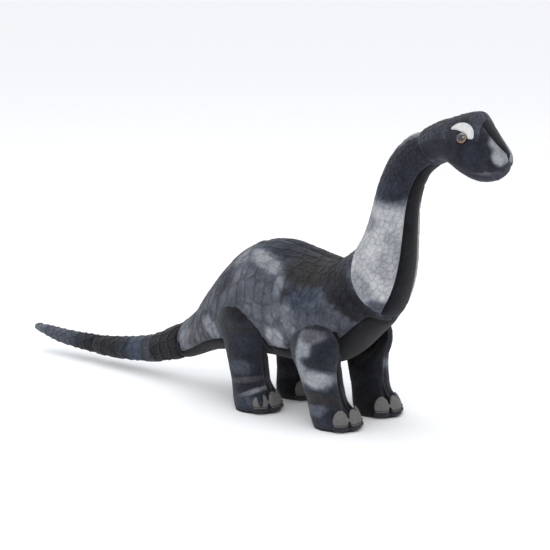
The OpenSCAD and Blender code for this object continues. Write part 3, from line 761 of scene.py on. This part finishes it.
# share of the faces round each grid corner that belong to these panels
def vertexShare(face, numbers):
    mine = np.isin(face, numbers).astype(float)
    mine = (mine + np.roll(mine, 1, 1)) / 2
    return np.concatenate([mine[:1], (mine[1:] + mine[:-1]) / 2, mine[-1:]])


def numbersOf(*words):
    return [i for name, i in number.items() if any(w in name for w in words)]


tuck = {"depth": 1.5, "width": 1.3, "pull": 0.8, "pullWidth": 5.5, "headShare": 0.28,
        "napeShare": 0.3, "tailShare": 0.5, "browRise": 1.0, "browEdge": 1.1,
        "browDip": 0.35, "browDipWidth": 0.8}     # lengths in mm
onHead = vertexShare(face, numbersOf("crown", "bridge", "muzzle", "cheek", "jaw", "brow"))
inward = (tuck["depth"] * np.exp(-(seamAway / tuck["width"])**2)
          + tuck["pull"] * np.exp(-(seamAway / tuck["pullWidth"])**2))
inward *= 1 - onHead * (1 - tuck["headShare"])
atNape = smoothStep(180, 192, middleX) * (1 - smoothStep(214, 222, middleX))
inward *= 1 - (atNape * (1 - tuck["napeShare"]))[:, None]
inward *= np.interp(middleX, [-125, -70], [tuck["tailShare"], 1.0])[:, None]      # the tail is thin
inward *= 1 - smoothStep(math.radians(62), math.radians(84), np.abs(rings["tilt"]))[:, None]
onBrowShare = vertexShare(face, numbersOf("brow"))
raised = np.where(onBrowShare > 0, tuck["browRise"] * smoothStep(0, tuck["browEdge"], browAway),
                  -tuck["browDip"] * np.exp(-(browAway / tuck["browDipWidth"])**2))
place = place + normal * ((raised - inward) * mm)[..., None]

# cells: along the line and round it, in cell lengths, for the back and for the flank
capRadius = 12     # stands for the ends' roundness, in mm
step = np.linalg.norm(np.diff(rings["middle"], axis=0), axis=1) / mm
turning = np.abs(np.diff(rings["tilt"])) * capRadius
run = np.concatenate([[0], np.cumsum(step + turning)])
stepRound = np.linalg.norm(np.roll(place, -1, 1) - place, axis=-1) / mm
girth = np.cumsum(stepRound, 1) - stepRound
rightHalf = np.arange(spine["columns"]) > spine["columns"] // 2
girth = np.where(rightHalf, girth - stepRound.sum(1)[:, None], girth)
cellPlaces = [-270, -200, -90, -60, 0, 105, 125, 145, 155, 200, 270]
cellSizes = {   # cell length along the line and round it, in mm, at cellPlaces
    "cellsBack": ([8, 10, 13, 15, 19, 18, 12, 6.5, 5.2, 4.6, 4.2], [7, 8, 9, 10, 9, 9, 9, 6, 5, 4.6, 4.2]),
    "cellsFlank": ([8, 10, 13, 12, 10.5, 10, 9, 6.5, 5.2, 4.6, 4.2],
                   [7, 8, 9, 12, 18, 16, 9, 6, 5, 4.6, 4.2]),
}
cells = {}
for name, (longs, highs) in cellSizes.items():
    along = np.interp(middleX, cellPlaces, longs)
    high = np.interp(middleX, cellPlaces, highs)
    u = np.concatenate([[0], np.cumsum(np.diff(run) / along[1:])])
    cells[name] = np.stack(np.broadcast_arrays(u[:, None], girth / high[:, None], 0.0), -1)
cellMix = 1 - smoothStep(34, 44, np.abs(girth))
heights = np.interp(middleX, [-270, -60, 0, 150, 165, 205, 232, 244],
                    [0.9, 0.9, 1.0, 0.85, 0.8, 0.8, 0.6, 0.0])
embossed = heights[:, None] * vertexShare(face, numbersOf("body", "rump", "neck", "tail", "tip", "crown"))
embossed = embossed * smoothStep(0.8, 3.2, seamAway)


# runs the embossing tree over a grid, and gives back its corners and its grooves
def pressScales(place, cells, cellMix, embossed, name):
    rows, columns = place.shape[:2]
    mesh = newMesh(name, place.reshape(-1, 3), [gridFaces(rows, columns).reshape(-1, 4)])
    for key, values in cells.items():
        writeAttribute(mesh, key, "FLOAT_VECTOR", values)
    writeAttribute(mesh, "cellMix", "FLOAT", cellMix)
    writeAttribute(mesh, "embossed", "FLOAT", embossed)
    piece = addObject(name, mesh)
    made = runTree(piece, scalesTree, {"Depth": emboss["depth"], "Groove Width": emboss["grooveWidth"],
                                       "Randomness": emboss["randomness"], "Seed": emboss["seed"]})
    bpy.data.objects.remove(piece)
    return positions(made).reshape(place.shape), readAttribute(made, "groove").reshape(place.shape[:2])


scalesTree = embossTree(plushCloth)
place, groove = pressScales(place, cells, cellMix, embossed, "longCloth")
normal = gridNormals(place, rings["middle"])
print("scales pressed")

# cutting the cloth into sewn pieces

clothThick = 1.3 * mm
neckSplit, tailSplit = (150, 170), -125      # where the neck's and the tail's cloth are parted, in mm


# one sewn piece with its own thickness: the faces that mask picks, turned in at its edges
def cutCloth(name, place, normal, groove, mask, strokes, poles=(False, False), origin=0.0):
    rows, columns = place.shape[:2]
    quads = gridFaces(rows, columns)[mask]
    verts, ways, grooves = place.reshape(-1, 3), normal.reshape(-1, 3), groove.ravel()
    outward = np.cross(verts[quads[:, 1]] - verts[quads[:, 0]], verts[quads[:, 3]] - verts[quads[:, 0]])
    sets = [quads]
    for end, wanted in zip((0, rows - 1), poles):
        if wanted:
            k = np.nonzero(mask[0 if end == 0 else -1])[0]
            ring = end * columns
            pole = len(verts)
            verts = np.vstack([verts, verts[ring:ring + columns].mean(0)])
            ways = np.vstack([ways, unit(ways[ring:ring + columns].mean(0))])
            grooves = np.append(grooves, 0.0)
            fan = np.stack([ring + k, ring + (k + 1) % columns, np.full(len(k), pole)], 1)
            sets.append(fan[:, ::-1] if end == 0 else fan)
    if (outward * ways[quads[:, 0]]).sum() < 0:
        sets = [s[:, ::-1] for s in sets]
    used, sets = compact(sets)
    verts, ways, grooves = verts[used], ways[used], grooves[used]
    count = len(verts)
    start = np.concatenate([s.ravel() for s in sets])
    end = np.concatenate([np.roll(s, -1, 1).ravel() for s in sets])
    isOpen = ~np.isin(start * count + end, end * count + start)
    start, end = start[isOpen], end[isOpen]
    rim = np.stack([end, start, start + count, end + count], 1)
    inner = [s[:, ::-1] + count for s in sets]
    both = np.vstack([verts, verts - ways * clothThick])
    mesh = newMesh(name, both, sets + inner + [rim])
    outs = np.concatenate([ways[s.ravel()] for s in sets])
    ins = np.concatenate([-ways[s.ravel() - count] for s in inner])
    rimWay = unit(np.cross(both[rim[:, 1]] - both[rim[:, 0]], both[rim[:, 3]] - both[rim[:, 0]]))
    mesh.normals_split_custom_set(np.vstack([outs, ins, np.repeat(rimWay, 4, 0)]).tolist())
    dye = layDyeAndHighlight(verts[:, 0] / mm - origin, verts[:, 2] / mm, strokes)
    writeAttribute(mesh, "dye", "FLOAT_COLOR", np.vstack([dye, dye]))
    writeAttribute(mesh, "lay", "FLOAT_VECTOR", np.vstack([verts, verts]))
    writeAttribute(mesh, "groove", "FLOAT", np.concatenate([grooves, grooves]))
    mesh.materials.append(plushCloth)
    return addObject(name, mesh)


# renumbers the corners that are used, from 0
def compact(sets):
    used, back = np.unique(np.concatenate([s.ravel() for s in sets]), return_inverse=True)
    made, at = [], 0
    for s in sets:
        made.append(back[at:at + s.size].reshape(s.shape))
        at += s.size
    return used, made


# the piece's placement is baked into its mesh
def bend(piece):
    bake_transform(piece)


faceX, faceZ = (middleX[1:] + middleX[:-1]) / 2, (middleZ[1:] + middleZ[:-1]) / 2
lowNeck = (faceX < neckSplit[0]) | (faceZ < neckSplit[1])
stretch = {"all": np.ones(len(faceX), bool), "low": lowNeck, "high": ~lowNeck,
           "front": faceX > tailSplit, "back": faceX <= tailSplit}
spinePieces = [
    # piece, CAD panel, stretch, fixed body, bending body, slot, strokes
    ("bodyCloth", "body_panel_", "all", "torso", "neck", "body", bodyStrokes),
    ("rumpCloth", "rump_panel_", "all", "torso", "tail_base", "rump", bodyStrokes),
    ("neckLowCloth", "neck_panel_", "low", "torso", "neck", "neck", neckStrokes),
    ("neckHighCloth", "neck_panel_", "high", "neck", "head", "neck", neckStrokes),
    ("crownCloth", "crown_panel_", "all", "neck", "head", "crown", headStrokes["crown"]),
    ("muzzleCloth", "muzzle_panel_", "all", "neck", "head", "muzzle", headStrokes["muzzle"]),
    ("cheekCloth", "cheek_panel_", "all", "neck", "head", "dark", headStrokes["cheek"]),
    ("browPatch", "brow_patch_", "all", "neck", "head", "brow", headStrokes["brow"]),
    ("tailFrontCloth", "tail_panel_", "front", "torso", "tail_base", "tail", tailStrokes),
    ("tailBackCloth", "tail_panel_", "back", "tail_base", "tail_tip", "tail", tailStrokes),
    ("tipCloth", "tip_panel_", "all", "tail_base", "tail_tip", "tail", tailStrokes),
    ("bellyCloth", "belly_panel", "all", "torso", "neck", "dark", strapStrokes),
    ("throatLowCloth", "throat_panel", "low", "torso", "neck", "dark", strapStrokes),
    ("throatHighCloth", "throat_panel", "high", "neck", "head", "dark", strapStrokes),
    ("noseBridgeCloth", "nose_bridge_panel", "all", "neck", "head", "dark", headStrokes["bridge"]),
    ("jawCloth", "jaw_panel", "all", "neck", "head", "crown", headStrokes["jaw"]),
]
for name, node, part, parent, child, slot, strokes in spinePieces:
    for side in (("left", "right") if node.endswith("_") else ("",)):
        wanted = (face == number[node + side]) & stretch[part][:, None]
        poles = (bool(wanted[0].any()), bool(wanted[-1].any()))
        piece = cutCloth(name + side.capitalize(), place, normal, groove, wanted, strokes, poles)
        bend(piece)
        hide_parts(node + side)
print("long cloth cut and sewn")

# legs

legSizes = {   # lengths in mm, turns in degrees
    "spacing": 1.1, "columns": 144, "topRings": 32,
    "reach": 40, "soften": 8, "roundOff": 40, "foot": 2.4, "hipOut": 5, "blendHalf": 20,
    "seamDepth": 1.2, "seamWidth": 1.3, "pull": 0.6, "pullWidth": 5,
    "toes": (-42, 0, 42), "toeBulge": 2.8, "toeWidth": 15,
    "clefts": (-21, 21), "cleftDepth": 2.2, "cleftWidth": 6, "toeFade": (8, 26),
    "ledgeHeight": 46, "ledgeWidth": 5, "ledgePasses": 40,
    "cell": 8.5, "press": 0.35, "pressFrom": (16, 24), "shut": 0.12,
}


# one stuffed leg: outer and inner cloth from the sole up to the hip
def buildLeg(pair, side):
    leg, sign = f"{pair}_{side}", sideOf[side]
    hip = joints[leg + "_leg_swing"]
    footX, footY = footMiddle(leg)
    rows = max(int((hip[2] / mm - legSizes["foot"]) / legSizes["spacing"]), 8)
    t = np.linspace(0, 1, rows)
    sway = smoothStep(0, 1, t)
    middle = np.stack([footX + (hip[0] - footX) * t,
                       footY + (hip[1] + sign * legSizes["hipOut"] * mm - footY) * sway,
                       legSizes["foot"] * mm + (hip[2] - legSizes["foot"] * mm) * t], 1)
    front = np.tile([1.0, 0.0, 0.0], (rows, 1))
    rise = np.tile([0.0, 0.0, 1.0], (rows, 1))
    turn = np.radians(90) * (np.arange(legSizes["topRings"]) + 1) / legSizes["topRings"]
    far = np.full(rows, float(legSizes["reach"]))
    middle, front, rise, far, tilt = addCap(middle, front, rise, far, np.zeros(rows), turn, False)
    leggings = {"middle": middle, "up": front, "ahead": rise, "reach": far * mm, "tilt": tilt}
    panels = [leg + "_outer_panel", leg + "_inner_panel"]
    ray, radius, panel = layCloth(leggings, legSizes["columns"], panels)
    radius, panel = fillGaps(radius, panel)
    radius = softenFacets(radius, np.full(len(radius), legSizes["soften"] * (1.1 / legSizes["spacing"])**2),
                          int(legSizes["roundOff"] * (legSizes["columns"] / 144)**2))
    place = middle[:, None] + ray * radius[..., None]
    ledge = hip[2] / mm - legSizes["ledgeHeight"]
    below = np.minimum(place[..., 2] - hip[2], 0)
    hipAway = np.hypot(place[..., 0] - hip[0], below) / mm
    hipAway = np.where(below < 0, hipAway, 0)
    innermost = abs(hip[1]) * (1 - smoothStep(ledge - 2, ledge + 1, hipAway))    # flat beside the flank
    place[..., 1] = sign * np.maximum(place[..., 1] * sign, innermost)
    inside = place[..., 1] * sign < abs(hip[1]) + 2 * mm
    nearLedge = np.exp(-((hipAway - ledge) / legSizes["ledgeWidth"])**2) * inside
    nearLedge[[0, -1]] = 0
    for _ in range(legSizes["ledgePasses"]):
        around = np.roll(place, 1, 1) + np.roll(place, -1, 1)
        around[1:-1] += place[2:] + place[:-2]
        place = place + 0.5 * nearLedge[..., None] * (around / 4 - place)
    face = facePanels(panel)
    place, border = evenBorders(place, face)
    normal = gridNormals(place, middle)
    away = seamDistance(place, border) / mm
    inward = (legSizes["seamDepth"] * np.exp(-(away / legSizes["seamWidth"])**2)
              + legSizes["pull"] * np.exp(-(away / legSizes["pullWidth"])**2))
    angle = np.degrees(np.arctan2(place[..., 1] - footY, place[..., 0] - footX))
    low = 1 - smoothStep(*legSizes["toeFade"], place[..., 2] / mm)
    for cleft in legSizes["clefts"]:
        inward += legSizes["cleftDepth"] * low * np.exp(-((angle - cleft) / legSizes["cleftWidth"])**2)
    for toe in legSizes["toes"]:
        inward -= legSizes["toeBulge"] * low * np.exp(-((angle - toe) / legSizes["toeWidth"])**2)
    place = place - normal * (inward * mm)[..., None]
    stepRound = np.linalg.norm(np.roll(place, -1, 1) - place, axis=-1) / mm
    size = legSizes["cell"]
    girth = np.cumsum(stepRound, 1) - stepRound
    laid = np.stack(np.broadcast_arrays(place[..., 2] / mm / size, girth / size, 0.0), -1)
    pressed = legSizes["press"] * smoothStep(1, 4, away)
    pressed = pressed * smoothStep(*legSizes["pressFrom"], place[..., 2] / mm)
    place, groove = pressScales(place, {"cellsBack": laid, "cellsFlank": laid}, np.zeros(away.shape),
                                pressed, leg + "Cloth")
    shut = legSizes["shut"] * place[:1] + (1 - legSizes["shut"]) * middle[:1, None]
    shut[..., 2] = legSizes["foot"] * mm     # the cloth turns in under the foot
    place = np.concatenate([shut, place])
    groove = np.concatenate([groove[:1], groove])
    normal = gridNormals(place, np.concatenate([middle[:1], middle]))
    normal[0] = [0, 0, -1]
    face = np.concatenate([face[:1], face])
    outerStrokes = hindStrokes if pair == "hind" else foreStrokes
    for which, (part, strokes) in enumerate((("Outer", outerStrokes), ("Inner", innerStrokes[pair]))):
        wanted = face == which
        piece = cutCloth(pair + side.capitalize() + part + "Cloth", place, normal, groove, wanted, strokes,
                         (bool(wanted[0].any()), bool(wanted[-1].any())), footX / mm)
        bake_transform(piece)
        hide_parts(panels[which])


legs = [(pair, side) for pair in ("fore", "hind") for side in ("left", "right")]
for pair, side in legs:
    buildLeg(pair, side)
print("legs sewn")

# feet: soles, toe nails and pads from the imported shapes, rounded over

nailSizes = {"grain": 0.55, "passes": 8, "solePasses": 2, "lean": 0.4, "out": 1.0}


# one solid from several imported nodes, its edges rounded over
def roundedCopy(name, nodes, grain, passes, material, shrink=0.0):
    verts, faces = gather(nodes)[:2]
    mesh = bpy.data.meshes.new(name)
    mesh.from_pydata(verts, [], faces)
    piece = addObject(name, mesh)
    remesh = piece.modifiers.new("even", "REMESH")
    remesh.mode = "VOXEL"
    remesh.voxel_size = grain * mm
    remesh.use_smooth_shade = True
    smooth = piece.modifiers.new("soft", "SMOOTH")
    smooth.factor = 0.5
    smooth.iterations = passes
    if shrink:
        smaller = piece.modifiers.new("smaller", "DISPLACE")
        smaller.mid_level = 0.0
        smaller.strength = -shrink * mm
    settle(piece)
    piece.data.materials.clear()
    piece.data.materials.append(material)
    return piece


# turns the modifiers' result into the piece's own plain mesh
def settle(piece):
    graph = bpy.context.evaluated_depsgraph_get()
    made = bpy.data.meshes.new_from_object(piece.evaluated_get(graph))
    piece.modifiers.clear()
    piece.data = made


threadSizes = {"radius": 0.28 * mm, "pitch": 2.4 * mm, "swing": 0.7 * mm, "sides": 6,
               "lift": 1.6, "play": 0.1, "reach": 60}     # lift and play in mm, reach in degrees


# zigzag stitches along a line: its points are swung up and down, then given thickness
def threadTree(material):
    tree, n, link, given, out = emptyTree("zigzagThread", ("Pitch", "Swing", "Radius"))
    curve = n.new("GeometryNodeMeshToCurve")
    spaced = n.new("GeometryNodeResampleCurve")
    spaced.mode = "LENGTH"
    odd = mathsNode(n, link, "MODULO", n.new("GeometryNodeInputIndex").outputs["Index"], 2.0)
    swung = mathsNode(n, link, "MULTIPLY", mathsNode(n, link, "SUBTRACT", odd, 0.5), given.outputs["Swing"])
    offset = n.new("ShaderNodeCombineXYZ")
    moved = n.new("GeometryNodeSetPosition")
    profile = n.new("GeometryNodeCurvePrimitiveCircle")
    profile.inputs["Resolution"].default_value = threadSizes["sides"]
    tube = n.new("GeometryNodeCurveToMesh")
    tube.inputs["Fill Caps"].default_value = True
    link(given.outputs["Geometry"], curve.inputs["Mesh"])
    link(curve.outputs["Curve"], spaced.inputs["Curve"])
    link(given.outputs["Pitch"], spaced.inputs["Length"])
    link(swung, offset.inputs["Z"])
    link(spaced.outputs["Curve"], moved.inputs["Geometry"])
    link(offset.outputs["Vector"], moved.inputs["Offset"])
    link(given.outputs["Radius"], profile.inputs["Radius"])
    link(moved.outputs["Geometry"], tube.inputs["Curve"])
    link(profile.outputs["Curve"], tube.inputs["Profile Curve"])
    dressed(n, link, tube.outputs["Mesh"], material, out)
    return tree


# a line of points just outside the nails at one height
def outlineThread(name, nails, centreX, centreY, height):
    points = np.array([v.co for v in nails.data.vertices])
    band = points[np.abs(points[:, 2] - height) < 1.2 * mm]
    angle = np.degrees(np.arctan2(band[:, 1] - centreY, band[:, 0] - centreX))
    far = np.hypot(band[:, 1] - centreY, band[:, 0] - centreX)
    turns = np.arange(-threadSizes["reach"], threadSizes["reach"] + 1, 1.5)
    reach = np.array([far[np.abs(angle - t) < 1.6].max() if (np.abs(angle - t) < 1.6).any() else np.nan
                      for t in turns])
    turns, reach = turns[~np.isnan(reach)], reach[~np.isnan(reach)]
    reach = reach + threadSizes["play"] * mm
    way = np.radians(turns)
    line = np.stack([centreX + reach * np.cos(way), centreY + reach * np.sin(way),
                     np.full(len(way), height)], 1)
    mesh = bpy.data.meshes.new(name)
    mesh.from_pydata(line.tolist(), [(i, i + 1) for i in range(len(line) - 1)], [])
    piece = addObject(name, mesh)
    made = runTree(piece, zigzagTree, {"Pitch": threadSizes["pitch"], "Swing": threadSizes["swing"],
                                       "Radius": threadSizes["radius"]})
    piece.data = made
    return piece


# the nails' tops lean towards the middle of the foot
def leanBack(nails, foot):
    points = positions(nails.data)
    outwards = unit(points[:, :2] - foot)
    height = points[:, 2] - points[:, 2].min()
    points[:, :2] += outwards * (nailSizes["out"] * mm - nailSizes["lean"] * height)[:, None]
    movePoints(nails.data, points)


threadCloth = suedeMaterial("stitchThread", (48, 48, 54), (34, 34, 39), 900.0, 0.1)
zigzagTree = threadTree(threadCloth)
footParts = [   # piece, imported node, slot, smoothing passes, material
    ("Nails", "_toe_nails", "nail", nailSizes["passes"], nailSuede),
    ("Pads", "_toe_pads", "dark", nailSizes["passes"], soleSuede),
    ("Sole", "_sole", "sole", nailSizes["solePasses"], soleSuede),
]
for pair, side in legs:
    leg = f"{pair}_{side}"
    joined = pair + side.capitalize()
    foot = footMiddle(leg)
    for name, node, slot, passes, cloth in footParts:
        piece = roundedCopy(joined + name, [leg + node], nailSizes["grain"], passes, cloth)
        if name == "Nails":
            leanBack(piece, foot)
            nails = piece
        attach(piece, leg + "_leg", leg + node)
    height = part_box(leg + "_toe_nails")[0].z + threadSizes["lift"] * mm
    stitches = outlineThread(joined + "Stitches", nails, *foot, height)
    attach(stitches, leg + "_leg", leg + "_toe_nails")
print("feet made")

# eyes: an amber ring under a clear, domed black eye

eyeShape = {"way": (0.129, 0.918, 0.375), "rise": 2.7 * mm, "rings": 22, "sides": 72,
            "pupil": 0.74, "iris": 0.93, "drop": 2.6 * mm, "out": 0.5 * mm, "backing": 1.2 * mm,
            "edge": 0.03, "top": 0.02}


def eyeMaterial():
    made, n, link, shader = material("eyeGlass", {"Roughness": 0.12, "Coat Weight": 1.0,
                                                  "Coat Roughness": 0.04})
    pupil, iris, edge = eyeShape["pupil"], eyeShape["iris"], eyeShape["edge"]
    stops = ((0.0, (0.006, 0.005, 0.005, 1)), (pupil - edge, (0.008, 0.006, 0.005, 1)),
             (pupil + edge * 2 / 3, (0.10, 0.045, 0.008, 1)), (iris - edge, (0.24, 0.12, 0.02, 1)),
             (iris + edge * 2 / 3, (0.012, 0.009, 0.008, 1)))
    colour = rampNode(n, link, attributeNode(n, "outwards").outputs["Fac"], stops)
    link(colour, shader.inputs["Base Color"])
    return made


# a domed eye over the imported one, with a flat back
def eyeDome(side, sign):
    points = np.array([v.co for v in frame["nodes"]["eye_" + side].data.vertices])
    faceOut = unit(np.array(eyeShape["way"]) * [1, sign, 1])
    along = points @ faceOut
    middle = points[along > along.max() - eyeShape["rise"] * 0.9].mean(0)
    spread = points - middle
    outermost = (spread @ faceOut).max()
    radius = np.linalg.norm(spread - (spread @ faceOut)[:, None] * faceOut, axis=1).max()
    across = unit(np.cross(faceOut, [0, 0, 1]))
    grow = np.linspace(1, eyeShape["top"], eyeShape["rings"])
    lift = eyeShape["rise"] * np.sqrt(1 - grow**2)
    turn = 2 * math.pi * np.arange(eyeShape["sides"]) / eyeShape["sides"]
    base = middle + faceOut * (outermost - eyeShape["rise"] + eyeShape["out"]) - [0, 0, eyeShape["drop"]]
    around = (np.cos(turn)[:, None] * across + np.sin(turn)[:, None] * np.cross(across, faceOut))
    dome = base + grow[:, None, None] * radius * around + lift[:, None, None] * faceOut
    backing = faceOut * eyeShape["backing"]
    shell = np.concatenate([dome[:1] - backing, dome]).reshape(-1, 3)
    total, sides = len(shell), eyeShape["sides"]
    k = np.arange(sides)
    verts = np.vstack([shell, base - backing, base + faceOut * eyeShape["rise"]])
    low = np.stack([(k + 1) % sides, k, np.full(sides, total)], 1)
    last = total - sides
    high = np.stack([last + k, last + (k + 1) % sides, np.full(sides, total + 1)], 1)
    sets = [gridFaces(eyeShape["rings"] + 1, sides).reshape(-1, 4), low, high]
    facing = np.cross(verts[high[0, 1]] - verts[high[0, 0]], verts[high[0, 2]] - verts[high[0, 0]])
    if facing @ faceOut < 0:
        sets = [s[:, ::-1] for s in sets]
    mesh = newMesh("eyeDome" + side.capitalize(), verts, sets)
    fromBase = verts - base
    outwards = np.linalg.norm(fromBase - (fromBase @ faceOut)[:, None] * faceOut, axis=1)
    writeAttribute(mesh, "outwards", "FLOAT", outwards / radius)
    mesh.materials.append(eyeGlass)
    attach(addObject(mesh.name, mesh), "head", "eye_" + side)


eyeGlass = eyeMaterial()
for side, sign in sideOf.items():
    eyeDome(side, sign)
print("eyes made")

# inside: stuffing and pellet bags

washerPlastic = suedeMaterial("washerPlastic", (206, 206, 202), (196, 196, 192), 120.0, 0.0)
stuffingSizes = {"grain": 2.0, "passes": 8, "shrink": 2.6, "legShare": 0.76,
                 "hipShift": 3.5, "bagGrain": 1.0, "bagPasses": 3, "bagFill": 0.6}


# what is inside a leg keeps clear of its drawn-in seams and toe clefts
def slimLeg(piece, leg):
    points = positions(piece.data)
    foot = footMiddle(leg)
    hip = joints[leg + "_leg_swing"]
    share = np.clip(points[:, 2:] / hip[2], 0, 1)
    middle = foot + (hip[:2] - foot) * share
    points[:, :2] = middle + (points[:, :2] - middle) * stuffingSizes["legShare"]
    points[:, 1] += np.sign(hip[1]) * stuffingSizes["hipShift"] * mm * share[:, 0]**2
    movePoints(piece.data, points)


fillings = {"torso": ("torso_filling", 0.9), "neck": ("neck_filling", 0.9), "head": ("head_filling", 0.9),
            "tail_base": ("tail_filling", 0.9), "tail_tip": ("tip_filling", 0.85)}
for pair, side in legs:
    leg = f"{pair}_{side}"
    fillings[leg + "_leg"] = (leg + "_filling", 0.85)
    bag = roundedCopy(pair + side.capitalize() + "Pellets", [leg + "_pellet_bag"],
                      stuffingSizes["bagGrain"], stuffingSizes["bagPasses"], pelletCloth)
    slimLeg(bag, leg)
    attach(bag, leg + "_leg", leg + "_pellet_bag")
for body, (node, fill) in fillings.items():
    words = node.split("_")
    name = words[0] + "".join(w.capitalize() for w in words[1:]) + "Wad"
    wad = roundedCopy(name, [node], stuffingSizes["grain"], stuffingSizes["passes"], stuffingFibre,
                      0 if body.endswith("_leg") else stuffingSizes["shrink"])
    if body.endswith("_leg"):
        slimLeg(wad, body[:-4])
    attach(wad, body, node)
for side in sideOf:
    washer = frame["nodes"]["eye_washer_" + side]
    washer.data.materials.clear()
    washer.data.materials.append(washerPlastic)
print("inside made")

# floor, light and camera

floor = addObject("studioFloor", bpy.data.meshes.new("studioFloor"))
wide = 14     # fills the view behind the toy
floor.data.from_pydata([(-wide, -wide, 0), (wide, -wide, 0), (wide, wide, 0), (-wide, wide, 0)], [],
                       [(0, 1, 2, 3)])
studioPaper = suedeMaterial("studioPaper", (246, 247, 249), (244, 245, 247), 40.0, 0.0)
floor.data.materials.append(studioPaper)

scene = bpy.context.scene
world = bpy.data.worlds.new("studioAir")
scene.world = world
world.use_nodes = True
world.node_tree.nodes["Background"].inputs["Color"].default_value = (0.98, 0.99, 1.0, 1)
world.node_tree.nodes["Background"].inputs["Strength"].default_value = 1.0


def softLight(name, place, aim, size, watts, colour):
    data = bpy.data.lights.new(name, "AREA")
    data.shape = "DISK"
    data.size = size
    data.energy = watts
    data.color = colour
    lamp = bpy.data.objects.new(name, data)
    lamp.location = place
    lamp.rotation_euler = (Vector(aim) - Vector(place)).to_track_quat("-Z", "Y").to_euler()
    scene.collection.objects.link(lamp)


softLight("keyLight", (0.9, -1.3, 1.5), (0, 0, 0.1), 1.2, 11, (1.0, 0.98, 0.95))
softLight("topLight", (-0.3, 0.1, 1.7), (0, 0, 0.1), 1.6, 9, (0.96, 0.98, 1.0))

view = {"azimuth": 38.9, "elevation": 11.7, "away": 1.4946, "aim": (0.0522, -0.019, 0.117),
        "from": (0.0758, 0.0, 0.110), "lens": 115.9}
turn, rise = math.radians(view["azimuth"]), math.radians(view["elevation"])
back = Vector((math.sin(turn) * math.cos(rise), -math.cos(turn) * math.cos(rise), math.sin(rise)))
cameraData = bpy.data.cameras.new("studioCamera")
cameraData.lens = view["lens"]
cameraData.sensor_width = 36
camera = bpy.data.objects.new("studioCamera", cameraData)
camera.location = Vector(view["from"]) + back * view["away"]
camera.rotation_euler = (Vector(view["aim"]) - camera.location).to_track_quat("-Z", "Y").to_euler()
scene.collection.objects.link(camera)
scene.camera = camera
scene.view_settings.view_transform = "Standard"
print("studio made")
